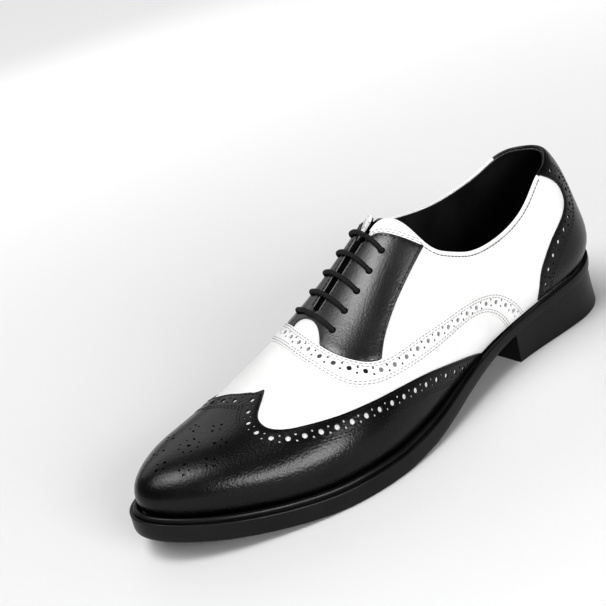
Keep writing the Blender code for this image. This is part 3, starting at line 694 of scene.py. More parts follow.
# dyed hide: colour between two tones by mottle, roughness by mottle and rubbing, grain as bump
def leather(name, look):
    finish, tree, shader, coords = newFinish(name)
    grain = placeGroup(tree, hideGrain, coords.outputs["Object"], Scale=look["grainScale"])
    rub = placeGroup(tree, softRub, coords.outputs["Object"])
    tone = addMath(tree, "ADD", spread(tree, grain.outputs["Mottle"], 0.0, 1.0),
                   addMath(tree, "MULTIPLY", rub.outputs["Mask"], look["rub"]))
    tree.links.new(blendColours(tree, tone, look["deep"], look["light"]), shader.inputs["Base Color"])
    rough = addMath(tree, "ADD", spread(tree, grain.outputs["Mottle"], *look["rough"]),
                    addMath(tree, "MULTIPLY", rub.outputs["Mask"], rubShape["roughness"]))
    tree.links.new(rough, shader.inputs["Roughness"])
    addBump(tree, grain.outputs["Height"], look["grainDepth"], look["grainStrength"], shader)
    shader.inputs["Coat Weight"].default_value = look["coat"]
    shader.inputs["Coat Roughness"].default_value = look["coatRough"]
    shader.inputs["Specular IOR Level"].default_value = look["specular"]
    return finish


leatherLooks = {
    "white": {"deep": (0.80, 0.795, 0.79), "light": (0.88, 0.88, 0.88), "rough": (0.42, 0.54),
              "coat": 0.1, "coatRough": 0.3, "specular": 0.35, "grainScale": 1000.0, "grainDepth": 0.0002,
              "grainStrength": 0.4, "rub": 0.15},
    "cap": {"deep": (0.003, 0.003, 0.0032), "light": (0.008, 0.008, 0.0085), "rough": (0.25, 0.34),
            "coat": 0.22, "coatRough": 0.2, "specular": 0.38, "grainScale": 900.0, "grainDepth": 0.00015,
            "grainStrength": 0.6, "rub": 0.5},
    "facing": {"deep": (0.006, 0.0055, 0.006), "light": (0.016, 0.015, 0.016), "rough": (0.3, 0.37),
               "coat": 0.4, "coatRough": 0.26, "specular": 0.75, "grainScale": 1000.0, "grainDepth": 0.00012,
               "grainStrength": 0.6, "rub": 0.4},
    "lining": {"deep": (0.012, 0.012, 0.012), "light": (0.03, 0.03, 0.03), "rough": (0.5, 0.65),
               "coat": 0.0, "coatRough": 0.3, "specular": 0.4, "grainScale": 900.0, "grainDepth": 0.0002,
               "grainStrength": 0.3, "rub": 0.2},
}
whiteHide = leather("whiteHide", leatherLooks["white"])
capHide = leather("capHide", leatherLooks["cap"])
facingHide = leather("facingHide", leatherLooks["facing"])
liningHide = leather("liningHide", leatherLooks["lining"])


# moulded rubber: two near-black tones, fine pitting and rubbed streaks
def rubber(name, look):
    finish, tree, shader, coords = newFinish(name)
    pits = addNode(tree, "ShaderNodeTexNoise", Scale=look["pitScale"], Detail=4.0)
    tree.links.new(coords.outputs["Object"], pits.inputs["Vector"])
    rub = placeGroup(tree, softRub, coords.outputs["Object"])
    slow = addNode(tree, "ShaderNodeTexNoise", Scale=look["toneScale"], Detail=3.0)
    tree.links.new(coords.outputs["Object"], slow.inputs["Vector"])
    tone = addMath(tree, "ADD", spread(tree, slow.outputs["Fac"], 0.0, look["toneTop"]), rub.outputs["Mask"])
    tree.links.new(blendColours(tree, tone, look["deep"], look["light"]), shader.inputs["Base Color"])
    tree.links.new(spread(tree, slow.outputs["Fac"], *look["rough"]), shader.inputs["Roughness"])
    addBump(tree, pits.outputs["Fac"], look["pitDepth"], look["pitStrength"], shader)
    shader.inputs["Specular IOR Level"].default_value = look["specular"]
    return finish


rubberLooks = {
    "sole": {"deep": (0.006, 0.006, 0.006), "light": (0.016, 0.016, 0.016), "rough": (0.3, 0.42),
             "pitScale": 1800.0, "pitDepth": 0.0001, "pitStrength": 0.3, "toneScale": 45.0, "toneTop": 0.6,
             "specular": 0.45},
    "welt": {"deep": (0.005, 0.005, 0.005), "light": (0.012, 0.012, 0.012), "rough": (0.3, 0.42),
             "pitScale": 1500.0, "pitDepth": 0.0001, "pitStrength": 0.3, "toneScale": 45.0, "toneTop": 0.6,
             "specular": 0.45},
}
soleRubber = rubber("soleRubber", rubberLooks["sole"])
weltRubber = rubber("weltRubber", rubberLooks["welt"])


threadShape = {"fibreScale": 4000.0, "fibreDepth": 0.0001, "fibreStrength": 0.4, "rough": 0.6}


# waxed thread: two tones by fine noise, matte
def thread(name, deep, light):
    finish, tree, shader, coords = newFinish(name)
    fibres = addNode(tree, "ShaderNodeTexNoise", Scale=threadShape["fibreScale"], Detail=2.0)
    tree.links.new(coords.outputs["Object"], fibres.inputs["Vector"])
    shade = spread(tree, fibres.outputs["Fac"], 0.0, 1.0)
    tree.links.new(blendColours(tree, shade, deep, light), shader.inputs["Base Color"])
    addBump(tree, fibres.outputs["Fac"], threadShape["fibreDepth"], threadShape["fibreStrength"], shader)
    shader.inputs["Roughness"].default_value = threadShape["rough"]
    return finish


greyThread = thread("greyThread", (0.30, 0.30, 0.30), (0.45, 0.45, 0.45))
# dark thread for the collar stitches, partly painted shade of the collar seam's groove; also painted shade in
# the band's pin holes
darkThreadAndShade = thread("darkThreadAndShade", (0.03, 0.03, 0.03), (0.06, 0.06, 0.06))
blackThread = thread("blackThread", (0.004, 0.004, 0.004), (0.012, 0.012, 0.012))
# pale grey for a painted highlight along the facings' slit edges
slitEdgeHighlight = thread("slitEdgeHighlight", (0.16, 0.155, 0.15), (0.26, 0.25, 0.245))
# grey for the discs behind the band's punches: painted shade in the holes
holeShadeGrey = thread("holeShadeGrey", (0.20, 0.20, 0.20), (0.32, 0.32, 0.32))


# cotton lace: braid from the cord's UV as bump, and as colour that is darker in the braid's grooves, a
# painted shade
def braidedCotton(name, look):
    finish, tree, shader, coords = newFinish(name)
    braid = placeGroup(tree, cordBraid, coords.outputs["UV"])
    shade = addNode(tree, "ShaderNodeMapRange")
    shade.inputs["From Min"].default_value = look["shadeFrom"]
    tree.links.new(braid.outputs["Height"], shade.inputs["Value"])
    colour = blendColours(tree, shade.outputs["Result"], look["deep"], look["light"])
    tree.links.new(colour, shader.inputs["Base Color"])
    addBump(tree, braid.outputs["Height"], look["braidDepth"], look["braidStrength"], shader)
    shader.inputs["Roughness"].default_value = look["rough"]
    shader.inputs["Sheen Weight"].default_value = look["sheen"]
    return finish


laceLook = {"deep": (0.003, 0.003, 0.003), "light": (0.011, 0.011, 0.011), "shadeFrom": -0.5,
            "braidDepth": 0.00015, "braidStrength": 0.7, "rough": 0.7, "sheen": 0.05}
laceCotton = braidedCotton("laceCotton", laceLook)
print("finishes made")


# Sole


# stations on the feather edge paired across the shoe, by a cosine from heel to toe:
# heel back, outer side, toe, inner side
def soleStations(perSide, lastX=None):
    nearEnd = 1.0
    turn = np.linspace(0.0, np.pi, perSide + 1)[1:-1]
    x = (outerX[0] + outerX[-1]) / 2 - (outerX[-1] - outerX[0]) / 2 * np.cos(turn)
    if lastX is not None:
        x = np.append(x[x < lastX - nearEnd], lastX)
    toe = [toeU] if lastX is None else []
    return np.concatenate([[0.0], np.interp(x, outerX, outerU), toe, np.interp(x, innerX, innerU)[::-1]])


# outline moved out square to itself, at a height that follows x
def soleRing(u, distance, height):
    step = lastShape["slopeStep"]
    along = unit(feather(u + step) - feather(u - step))
    out = np.column_stack([-along[:, 1], along[:, 0]])
    plan = feather(u) + out * np.broadcast_to(distance, len(u))[:, None]
    return np.column_stack([plan, height(plan[:, 0])])


# profile of rings from bottom to top, closed by strips across the shoe
def loft(rings, toe=True):
    size = len(rings[0])
    grid = np.arange(len(rings) * size).reshape(len(rings), size)
    sides = ringFaces(grid)
    half = size // 2 if toe else (size - 1) // 2
    i = np.arange(1, half if not toe else half - 1)
    strips = np.column_stack([i, i + 1, size - i - 1, size - i])
    ends = [(0, 1, size - 1)]
    if toe:
        ends.append((half - 1, half, half + 1))
    ends = np.array(ends)
    top = grid[-1, 0]
    return np.concatenate(rings), [sides[:, ::-1], strips, ends, strips[:, ::-1] + top, ends[:, ::-1] + top]


outsole = {
    "stations": 260,
    "edgeRound": 0.8,
    "roundSteps": 5,
    "bulges": ((0.35, 0.12), (0.55, 0.15), (0.72, 0.05)),  # share of the thickness, distance out
    "rimShares": (0.5, 0.4),
}


# sole plate: rings of the outline, a quarter circle at the tread, a slight bulge,
# a quarter circle at the rim, then inward to the welt's seat
def buildOutsole():
    u = soleStations(outsole["stations"])
    edge = margin(feather(u)[:, 0])
    rounding = outsole["edgeRound"]
    turn = np.linspace(0.0, np.pi / 2, outsole["roundSteps"])
    rings = [soleRing(u, edge - rounding + rounding * np.sin(t),
                      lambda x, t=t: tread(x) + rounding * (1 - np.cos(t))) for t in turn]
    rings += [soleRing(u, edge + bulge, lambda x, rise=rise: tread(x) + rise * soleShape["thickness"])
              for rise, bulge in outsole["bulges"]]
    rings += [soleRing(u, edge - rounding + rounding * np.cos(t),
                       lambda x, t=t: rimTop(x) - rounding * (1 - np.sin(t))) for t in turn]
    rings += [soleRing(u, edge * share, height)
              for share, height in zip(outsole["rimShares"], (rimTop, soleTop))]
    newPiece("outsolePlate", loft(rings), soleRubber, ["outsole"])


heel = {"stations": 260, "breast": 86.0, "lip": 0.9, "flare": 1.8, "flareFrom": 40.0, "edgeRound": 0.7,
        "rings": 16, "ringPower": 1.3, "roundTo": 0.04, "seatGap": 0.05}


# heel block: rings from floor to seat, flared by the square of the height left, rounded in at the floor
def buildHeel():
    u = soleStations(heel["stations"], heel["breast"])
    x = feather(u)[:, 0]
    flare = heel["flare"] * np.clip(1 - x / heel["flareFrom"], 0.0, 1.0)
    lip = heel["lip"]
    rings = []
    for lift in np.linspace(0.0, 1.0, heel["rings"]) ** heel["ringPower"]:
        out = margin(x) - lip + (flare + lip / 2) * (1 - lift) ** 2
        tuck = heel["edgeRound"] * (1 - min(1.0, lift / heel["roundTo"])) ** 2
        rings.append(soleRing(
            u, out - tuck, lambda atX, lift=lift: (underside(atX) - heel["seatGap"]) * lift))
    newPiece("heelBlock", loft(rings, toe=False), soleRubber, ["heel"])


insole = {"stations": 200, "inset": 3.6, "aboveFeather": 1.0, "bevel": (0.5, 0.4)}  # bevel inward, down


# insole board: the outline moved in, from the sole to above the feather edge, its top edge bevelled
def buildInsole():
    u = soleStations(insole["stations"])
    inset = -insole["inset"]
    bevelIn, bevelDown = insole["bevel"]
    rings = [
        soleRing(u, inset, lambda x: soleTop(x) + soleShape["gap"]),
        soleRing(u, inset, lambda x: weltTop(x) + insole["aboveFeather"] - bevelDown),
        soleRing(u, inset - bevelIn, lambda x: weltTop(x) + insole["aboveFeather"]),
    ]
    newPiece("insoleBoard", loft(rings), liningHide, ["insole"])


welt = {
    "stations": 640,
    "ends": 120.0,
    "inset": 2.0,
    "underUpper": 2.6,
    "profile": (  # share of the edge, level from the outsole (0) to the welt's top (1)
        (0.6, -0.5), (1.0, -0.1), (1.02, 0.25), (1.0, 0.5), (0.94, 0.76), (0.85, 0.94), (0.74, 1.02),
        (0.62, 1.05), (0.54, 0.98), (0.48, 0.8), (0.42, 0.4), (0.32, 0.1), (0.16, 0.0),
    ),
}


# strip along the sole's edge: a side, a rounded ridge, a groove, and a shelf under the upper
def buildWelt():
    u = np.linspace(ribU(welt["ends"], 1), ribU(welt["ends"], -1), welt["stations"])
    edge = margin(feather(u)[:, 0]) - welt["inset"]
    gap = soleShape["gap"]
    under = -welt["underUpper"]

    # height at a share of the welt's own rise above the rim
    def level(share):
        return lambda x: rimTop(x) + (weltTop(x) - gap - soleTop(x)) * share

    rings = [soleRing(u, under, soleTop)]
    rings += [soleRing(u, share * edge, level(height)) for share, height in welt["profile"]]
    rings.append(soleRing(u, under, lambda x: weltTop(x) - gap))
    sides = len(rings)
    grid = np.arange(len(u) * sides).reshape(len(u), sides)
    faces = [ringFaces(grid), [grid[0, ::-1]], [grid[-1]]]
    points = np.stack(rings, axis=1).reshape(-1, 3)
    newPiece("weltStrip", (points, faces), weltRubber, ["welt"])


buildOutsole()
buildHeel()
buildInsole()
buildWelt()


# Pattern edges: x of the rib's foot and the share of the rib from the crest (0) to the feather edge (1).
footShare = 0.995
counterLower = ((64, footShare), (63, 0.95), (60, 0.905), (54.5, 0.865), (47, 0.818), (37.5, 0.77),
                (30, 0.728), (25.7, 0.68), (25, 0.62))
facingEdges = {  # outer side, inner side
    "rear": (((178.5, 0.556), (174.2, 0.522), (168.6, 0.492), (157.5, 0.458), (144.5, 0.441), (129.8, 0.43)),
             ((170.4, 0.553), (166.5, 0.522), (161.5, 0.492), (152.5, 0.458), (140, 0.441), (127, 0.43))),
    "top": (((129.8, 0.43), (134.5, 0.33), (139, 0.2), (142.5, 0.1), (147.5, 0.055)),
            ((127, 0.43), (131.5, 0.33), (136.5, 0.2), (141.8, 0.1), (146.5, 0.055))),
    "foot": (((195.3, 0.183), (194.6, 0.29), (191.6, 0.389), (185.3, 0.496), (178.5, 0.556)),
             ((191.9, 0.122), (190.9, 0.176), (188.3, 0.29), (183.8, 0.391), (176.4, 0.497), (170.4, 0.553))),
    "arch": (((187.4, 0.0), (187.5, 0.02), (188.0, 0.05), (189.1, 0.09), (191.3, 0.134), (195.3, 0.183)),
             ((187.4, 0.0), (187.5, 0.03), (188.0, 0.08), (189.2, 0.115), (190.6, 0.124), (191.9, 0.122))),
    "underlap": (((178.5, 0.556), (181.5, 0.546), (184.5, 0.545), (188.5, 0.562), (194, 0.515), (199, 0.43),
                  (202, 0.33), (202.9, 0.26), (201.3, 0.212), (195.3, 0.183)),
                 ((170.4, 0.553), (175, 0.546), (181, 0.545), (189.5, 0.45), (195.5, 0.3), (197.6, 0.2),
                  (191.9, 0.122))),
}
bandUpperFoot = ((76, footShare), (84, 0.93), (95, 0.865), (104, 0.835))
bandLowerFoot = ((91, footShare), (96, 0.955), (105, 0.90), (114, 0.87))
collarBack = ((6, 0.361), (10.5, 0.364), (16, 0.37), (26, 0.41))
edges = {  # outer side, inner side
    "collar": (collarBack + ((38, 0.46), (50, 0.55), (60, 0.62), (74, 0.67), (90, 0.685), (104, 0.66),
                             (116, 0.59), (125, 0.50), (129.5, 0.39), (132, 0.24), (134.4, 0.12),
                             (137.4, 0.055)),
               collarBack + ((38, 0.48), (54, 0.54), (74, 0.57), (92, 0.565), (108, 0.52), (120, 0.45),
                             (127, 0.37), (131, 0.26), (133.8, 0.14), (135.4, 0.08))),
    "wing": (((115, footShare), (133, 0.93), (159, 0.81), (183, 0.71), (209.8, 0.604), (229.2, 0.481),
              (239, 0.369), (241.4, 0.272), (240.3, 0.192), (235.9, 0.123), (231.2, 0.085), (226.4, 0.046)),
             ((115, footShare), (133, 0.935), (159, 0.85), (183, 0.775), (205, 0.70), (220, 0.64),
              (230.5, 0.57), (236.2, 0.49), (237.8, 0.41), (237.6, 0.33), (236.6, 0.25), (235, 0.166),
              (233, 0.071), (230.1, 0.0), (226.4, -0.046))),
    "bandUpper": (bandUpperFoot + ((131, 0.757), (160, 0.643), (178.8, 0.56), (185.6, 0.5), (191.9, 0.392),
                                   (195, 0.29), (195.9, 0.18), (195.5, 0.09), (194.6, 0.0)),
                  bandUpperFoot + ((129, 0.757), (153, 0.643), (170.6, 0.557), (176.9, 0.5), (184.2, 0.392),
                                   (188.7, 0.29), (191.3, 0.176), (192.9, 0.094), (194.6, 0.0))),
    "bandLower": (bandLowerFoot + ((135, 0.82), (156, 0.758), (178, 0.675), (186.1, 0.635), (193, 0.583),
                                   (198.5, 0.523), (202.3, 0.443), (204.5, 0.345), (205.6, 0.206),
                                   (205.3, 0.09), (204.1, 0.0)),
                  bandLowerFoot + ((134, 0.82), (152, 0.758), (171, 0.675), (178, 0.635), (184.2, 0.583),
                                   (189.5, 0.523), (193.8, 0.443), (197.6, 0.345), (201, 0.206),
                                   (202.7, 0.09), (204.1, 0.0))),
    "counter": (counterLower + ((29.6, 0.535), (38.3, 0.463)), counterLower + ((25.8, 0.53), (27.5, 0.42))),
}
heelTopShare = 0.36
counterTopClearance = 0.002
slit = {"half": 1.3, "top": (142.5, 138.5), "bottom": 182.5, "facingMargin": 0.3, "facingJoin": 0.03,
        "coveredFrom": (144.0, 143.0), "coveredOver": 3.0, "cutBack": 1.5, "wallLap": 0.4, "joinPoints": 4}
layers = {  # heights off the last's skin
    "liningLow": -2.0, "liningHigh": -1.15, "upperLow": -1.2, "upperHigh": 0.35, "overlayLow": 0.3,
    "overlayHigh": 1.4, "underlayLow": 0.33, "underlayHigh": 0.6,
}
edgeSpacing = 1.2
eyelet = {"rows": 5, "first": (147.0, 143.5), "pitch": 10.0, "share": 0.21, "radius": 1.75, "sides": 20}


footPoints = {"wing": 420, "counter": 260}


# pattern points along the feather edge from the rib at x on one side round to x on the other
def footLine(x, side, count):
    u = np.linspace(ribU(x, side), ribU(x, -side) + (side < 0), count)[1:-1]
    return flat(u, np.full(len(u), footShare))


# outer or inner one of a pair
def ofSide(pair, side):
    return pair[0] if side > 0 else pair[1]


# top line of one side: from the heel's back through its rows to the top of the slit
def collarLine(side):
    back = flat(np.array([0.0]), np.array([heelTopShare]))
    top = ofSide(slit["top"], side)
    end = (top, spine(top) + side * slit["half"])
    return smoothLine(np.vstack([back, pattern(ofSide(edges["collar"], side), side), end]), edgeSpacing)


# edge of the slit: half its width from the crest plus an inset, tapered to a join at the bottom
def slitLine(side, x, inset):
    half = np.minimum(slit["half"], slit["bottom"] + slit["half"] - x) + inset
    return np.column_stack([x, spine(x) + side * np.maximum(half, slit["facingJoin"])])


# collar and slit as one loop; under the facings the slit's edge is cut back
def collarOpening(cutBack):
    halves = []
    for side in (1, -1):
        x = np.arange(ofSide(slit["top"], side), slit["bottom"], edgeSpacing)[1:]
        covered = np.clip((x - ofSide(slit["coveredFrom"], side)) / slit["coveredOver"], 0.0, 1.0)
        halves.append(np.vstack([collarLine(side), slitLine(side, x, cutBack * covered)]))
    tip = (slit["bottom"] + slit["half"], spine(slit["bottom"]))
    return np.vstack([halves[0], tip, halves[1][:0:-1]])


# eyelets a pitch apart along one share of the ribs
def eyeletCentres(side):
    x = ofSide(eyelet["first"], side) + np.arange(eyelet["rows"]) * eyelet["pitch"]
    return flat(ribU(x, side), np.full(len(x), eyelet["share"]))


# eyelets as punched circles: centres, radius, sides
def eyeletPunches(side):
    return (eyeletCentres(side), eyelet["radius"], eyelet["sides"])


# Upper and lining


upperShell = {"stations": 640, "liningFoot": 0.99}


# white upper and lining: the whole pattern less the collar, the slit and the eyelets
def buildUpper():
    u = np.arange(upperShell["stations"]) / upperShell["stations"]
    whole = flat(u, np.ones(len(u)))
    holes = [eyeletPunches(1), eyeletPunches(-1)]
    cut = cutLeather(whole, [collarOpening(slit["cutBack"])], holes)
    shell = sheetOf(cut, layers["upperLow"], layers["upperHigh"])
    newPiece("whiteUpper", shell, whiteHide, ["upper"])
    u = u[::2]
    liningLine = flat(u, np.full(len(u), upperShell["liningFoot"]))
    lined = cutLeather(liningLine, [collarOpening(0.0)], holes, coarseNet)
    lining = sheetOf(lined, layers["liningLow"], layers["liningHigh"], 0.0)
    newPiece("collarLining", lining, liningHide)


buildUpper()


# Overlays

brogueing = {  # inset from the edge, pitch, punch radius, first punch on the outer and inner side
    "wing": {"inset": 4.9, "pitch": 7.8, "radius": 1.4, "starts": (0.0, 10.5)},
    "band": {"inset": 4.7, "pitch": 7.8, "radius": 1.25, "starts": (4.0, 3.8)},
    "counter": {"inset": 4.4, "pitch": 8.1, "radius": 1.2, "starts": (5.0, 5.0)},
    "discMargin": 0.25,
    # heights of the grey discs that paint shade behind the band's punches
    "holeShadeHeights": (0.32, 0.36),
    # heights of the dark plugs that paint shade in the band's pin holes
    "pinShadeHeights": (0.32, 1.1),
    "wingPinHeights": (0.32, 0.75),
    "pinRadius": 0.6,
    "pinSpread": 1.5,
    "punchSides": 18,
    "pinSides": 9,
    "aimStep": 0.5,
    "rim": 1.2,
}


# punches a pitch apart along a row beside the edge, counted from its far end, and pin pairs halfway between
def punchRow(edge, other, side, outline, start, spec):
    row = rowInPanel(edge, spec["inset"], side, outline, other)[::-1]
    length = travelled(lifted(row))[-1]
    last = length - spec["radius"] - brogueing["rim"]
    punches = atLengths(row, np.arange(start, last, spec["pitch"]))
    first = start - spec["pitch"] / 2
    between = np.arange(first if first > 0 else first + spec["pitch"], last, spec["pitch"])
    step = brogueing["aimStep"]
    ends = atLengths(row, np.concatenate([between - step, between + step]))
    places, normals = onSkin(ends)
    count = len(between)
    across = unit(np.cross(normals[:count], places[count:] - places[:count]))
    pins = atLengths(row, between)
    pairs = [slide(pins, across * push) for push in (brogueing["pinSpread"], -brogueing["pinSpread"])]
    return punches, np.concatenate(pairs)


# rows of both sides, as punched circles: holes, then pins
def punchBoth(pair, turn, outline, spec):
    rows = [punchRow(ofSide(pair, side), ofSide(pair, -side), side * turn, outline,
                     ofSide(spec["starts"], side), spec)
            for side in (1, -1)]
    punches, pins = [np.concatenate(kind) for kind in zip(*rows)]
    return [(punches, spec["radius"], brogueing["punchSides"]),
            (pins, brogueing["pinRadius"], brogueing["pinSides"])]


# outer and inner line of a pattern edge
def edgePair(name):
    return [smoothLine(pattern(ofSide(edges[name], side), side), edgeSpacing) for side in (1, -1)]


# round disc as a fan of triangles from its first point, all of it inner
def fanned(rim):
    i = np.arange(1, len(rim) - 1)
    return rim, np.column_stack([np.zeros(len(i), int), i, i + 1]), np.zeros(len(rim), bool)


# discs behind punched holes, a little wider than the holes; under the band, grey for the punches and dark for
# the pins, they are painted shade in the holes
def buildHoleDiscs(name, punches, heights, finish):
    centres, radius, sides = punches
    rims = circlesOn(centres, radius + brogueing["discMargin"], sides)
    discs = [sheetOf(disc, *brogueing[heights], 0.0) for disc in map(fanned, rims)]
    newPiece(name, joined(*discs), finish)


# cut leather at the overlays' heights
def overlaySheet(cut):
    return sheetOf(cut, layers["overlayLow"], layers["overlayHigh"])


# plain leather under another piece
def underlaySheet(outline, low=layers["underlayLow"], high=layers["underlayHigh"]):
    return sheetOf(cutLeather(outline), low, high, 0.0)


medallion = {
    "crestX": 267.5,
    "offCrest": 3.0,
    "rings": (  # radius, swell of four petals, dots, size, turn
        (13.6, 0.8, 8, 0.75, 0.0), (16.8, 0.8, 8, 0.5, 0.14), (16.8, 0.8, 8, 0.5, -0.14),
        (19.4, 0.8, 8, 0.7, 0.0), (5.0, 0.0, 8, 0.5, 0.39), (0.0, 0.0, 1, 0.9, 0.0),
    ),
    "petals": 4,
    "sides": 10,
    "startOff": 0.02,
    "underlay": 22.5,
    "underlaySides": 60,
}


# points slid a long way over the skin by short steps that keep their compass bearing
def slideFar(points, angle, distance):
    heading = np.column_stack([np.cos(angle), np.sin(angle), np.zeros(len(angle))])
    count = patternWork["farSteps"]
    for _ in range(count):
        normals = onSkin(points)[1]
        level = unit(heading - normals * (heading * normals).sum(axis=1, keepdims=True))
        points = slide(points, level * (distance / count)[:, None])
    return points


# point of the toe about which the wing and its medallion are balanced, beside the crest
def medallionCentre():
    crest = np.array([(medallion["crestX"], spine(medallion["crestX"]) + medallion["startOff"])])
    return slideFar(crest, np.array([np.pi / 2]), np.array([medallion["offCrest"]]))[0]


# dots on rings whose radius swells as a cosine with one lobe a petal, slid out from the centre
def medallionDots():
    groups = []
    for radius, swell, count, size, turn in medallion["rings"]:
        angle = turn + np.arange(count) * 2 * np.pi / count
        reach = radius + swell * np.cos(medallion["petals"] * angle)
        dots = slideFar(np.tile(medallionCentre(), (count, 1)), angle, reach)
        groups.append((dots, size, medallion["sides"]))
    return groups


# wing cap: both edges meet near the crest and close along the feather edge, with leather under
# the medallion and plugs in the pin holes
def buildWingCap():
    pair = edgePair("wing")
    foot = footLine(edges["wing"][0][0][0], 1, footPoints["wing"])
    outline = np.vstack([pair[0], pair[1][-2::-1], foot[::-1]])
    holes, pins = punchBoth(pair, 1, outline, brogueing["wing"])
    punches = [holes, pins] + medallionDots()
    count = medallion["underlaySides"]
    turn = np.arange(count) * 2 * np.pi / count
    backing = slideFar(np.tile(medallionCentre(), (count, 1)), turn, np.full(count, medallion["underlay"]))
    solid = joined(overlaySheet(cutLeather(outline, (), punches)), underlaySheet(backing))
    newPiece("wingCap", solid, capHide, ["wing_cap"])
    buildHoleDiscs("wingPins", pins, "wingPinHeights", whiteHide)
    return pair, outline


# band: upper and lower edges from sole to sole, with grey discs behind its punches and dark plugs in its pin
# holes, both painted shade
def buildBand():
    upper = edgePair("bandUpper")
    lower = edgePair("bandLower")
    outline = np.vstack([upper[0], upper[1][-2::-1], lower[1], lower[0][-2::-1]])
    punches = punchBoth(upper, 1, outline, brogueing["band"])
    strap = overlaySheet(cutLeather(outline, (), punches))
    newPiece("broguedBand", strap, whiteHide, ["vamp_band"])
    holes, pins = punches
    # painted shade: grey discs behind the band's punches
    buildHoleDiscs("bandHoleShade", holes, "holeShadeHeights", holeShadeGrey)
    # painted shade: dark plugs in the band's pin holes
    buildHoleDiscs("bandPinShade", pins, "pinShadeHeights", darkThreadAndShade)
    return upper, lower, outline


# eyelet piece with its holes, a backing along the slit, and the lap that runs on under the band
def buildFacing(name, side, node):
    rows = {key: ofSide(pair, side) for key, pair in facingEdges.items()}
    rear, top, foot, archLine, lap = [smoothLine(pattern(rows[key], side), edgeSpacing)
                                      for key in ("rear", "top", "foot", "arch", "underlap")]
    slitX = np.arange(rows["top"][-1][0], slit["bottom"], edgeSpacing)[1:]
    joinFrom = slit["bottom"] + slit["half"] + slit["facingMargin"]
    joinX = np.linspace(joinFrom, rows["arch"][0][0], slit["joinPoints"])
    slitEdge = slitLine(side, slitX, slit["facingMargin"])
    joinEdge = slitLine(side, joinX, slit["facingMargin"])
    backEdge = slitLine(side, slitX, slit["cutBack"] + slit["wallLap"])
    loops = [np.vstack([rear, top[1:], slitEdge, joinEdge, archLine[1:], foot[1:-1]]),
             np.vstack([lap, foot[1:-1]]), np.vstack([slitEdge, backEdge[::-1]])]
    outline, lapOutline, wallOutline = [loop[::side] for loop in loops]
    solid = joined(
        overlaySheet(cutLeather(outline, (), [eyeletPunches(side)])), underlaySheet(lapOutline),
        underlaySheet(wallOutline, layers["upperLow"], layers["underlayLow"]))
    newPiece(name, solid, facingHide, [node])
    return rear, top, slitEdge, outline


# counter: both front edges, the collar's line just below its bead, and the feather edge round the heel
def buildCounter():
    pair = edgePair("counter")
    rows = np.array(collarBack) + (0.0, counterTopClearance)
    back = flat(np.array([0.0]), np.array([heelTopShare + counterTopClearance]))
    top = np.vstack([pair[0][-1], pattern(rows[::-1], 1), back, pattern(rows, -1), pair[1][-1]])
    top = smoothLine(top, edgeSpacing)[1:-1]
    foot = footLine(counterLower[0][0], -1, footPoints["counter"])
    outline = np.vstack([pair[0], top, pair[1][::-1], foot])
    cut = cutLeather(outline, (), punchBoth(pair, -1, outline, brogueing["counter"]))
    newPiece("heelCounter", overlaySheet(cut), capHide, ["counter"])
    return pair, outline


wingEdges, wingOutline = buildWingCap()
bandUpper, bandLower, bandOutline = buildBand()
facingLines = {side: buildFacing(name, side, node) for name, side, node in (
    ("facingOuter", 1, "facing_lateral"), ("facingInner", -1, "facing_medial"))}
counterEdges, counterOutline = buildCounter()


# Tongue

tongue = {"top": 134.0, "toe": 206.0, "halfTop": 12.5, "halfToe": 9.0, "corner": 4.0, "cornerPower": 0.7,
          "high": -3.5, "low": -4.6, "topPoints": 40, "toePoints": 14, "edgeDrop": 0.3}


# tongue: a tapered strip along the crest, its top corners rounded by a power of a sine
def buildTongue():
    x = np.arange(tongue["top"] + tongue["corner"], tongue["toe"], edgeSpacing)
    half = np.linspace(tongue["halfTop"], tongue["halfToe"], len(x))
    outer = np.column_stack([x, spine(x) + half])
    inner = np.column_stack([x, spine(x) - half])
    turn = np.linspace(0.0, np.pi, tongue["topPoints"])[1:-1]
    topX = x[0] - tongue["corner"] * np.sin(turn) ** tongue["cornerPower"]
    top = np.column_stack([topX, spine(topX) - half[0] * np.cos(turn)])
    toeY = np.linspace(-half[-1], half[-1], tongue["toePoints"])[1:-1]
    toe = np.column_stack([np.full(len(toeY), x[-1]), spine(x[-1]) + toeY])
    outline = np.vstack([outer[::-1], top[::-1], inner, toe])
    solid = sheetOf(cutLeather(outline), tongue["low"], tongue["high"], tongue["edgeDrop"])
    newPiece("tongueLeather", solid, facingHide, ["tongue"])


buildTongue()


# Tubes and stitches


# ellipse carried along a path, its short way square to the skin, with flat ends;
# UV along in diameters and around in turns
def tube(path, normals, wide, thick, sides=14):
    along = unit(np.gradient(path, axis=0))
    across = unit(np.cross(normals, along))
    normals = np.cross(along, across)
    turn = np.arange(sides) * 2 * np.pi / sides
    wide = np.broadcast_to(wide, len(path))[:, None, None]
    thick = np.broadcast_to(thick, len(path))[:, None, None]
    points = path[:, None] + across[:, None] * wide * np.cos(turn)[None, :, None]
    points = points + normals[:, None] * thick * np.sin(turn)[None, :, None]
    grid = np.arange(len(path) * sides).reshape(len(path), sides)
    diameters = travelled(path) / (2 * np.mean(wide))
    uv = np.stack(np.broadcast_arrays(diameters[:, None], (turn / (2 * np.pi))[None]), axis=-1)
    return points.reshape(-1, 3), [ringFaces(grid), [grid[0, ::-1]], [grid[-1]]], uv.reshape(-1, 2)


# round tubes along pattern lines, at one height off the skin
def edgeTubes(lines, spec):
    radius = spec["radius"]
    tubes = [tube(lifted(line, spec["height"]), onSkin(line)[1], radius, radius, spec["sides"])[:2]
             for line in lines]
    return joined(*tubes)


bead = {"radius": 0.9, "height": -0.2, "sides": 12, "blackTo": (38.3, 27.5)}


# x of the ribs' feet under the points of a line
def footX(line):
    return feather(unflatten(line)[0])[:, 0]


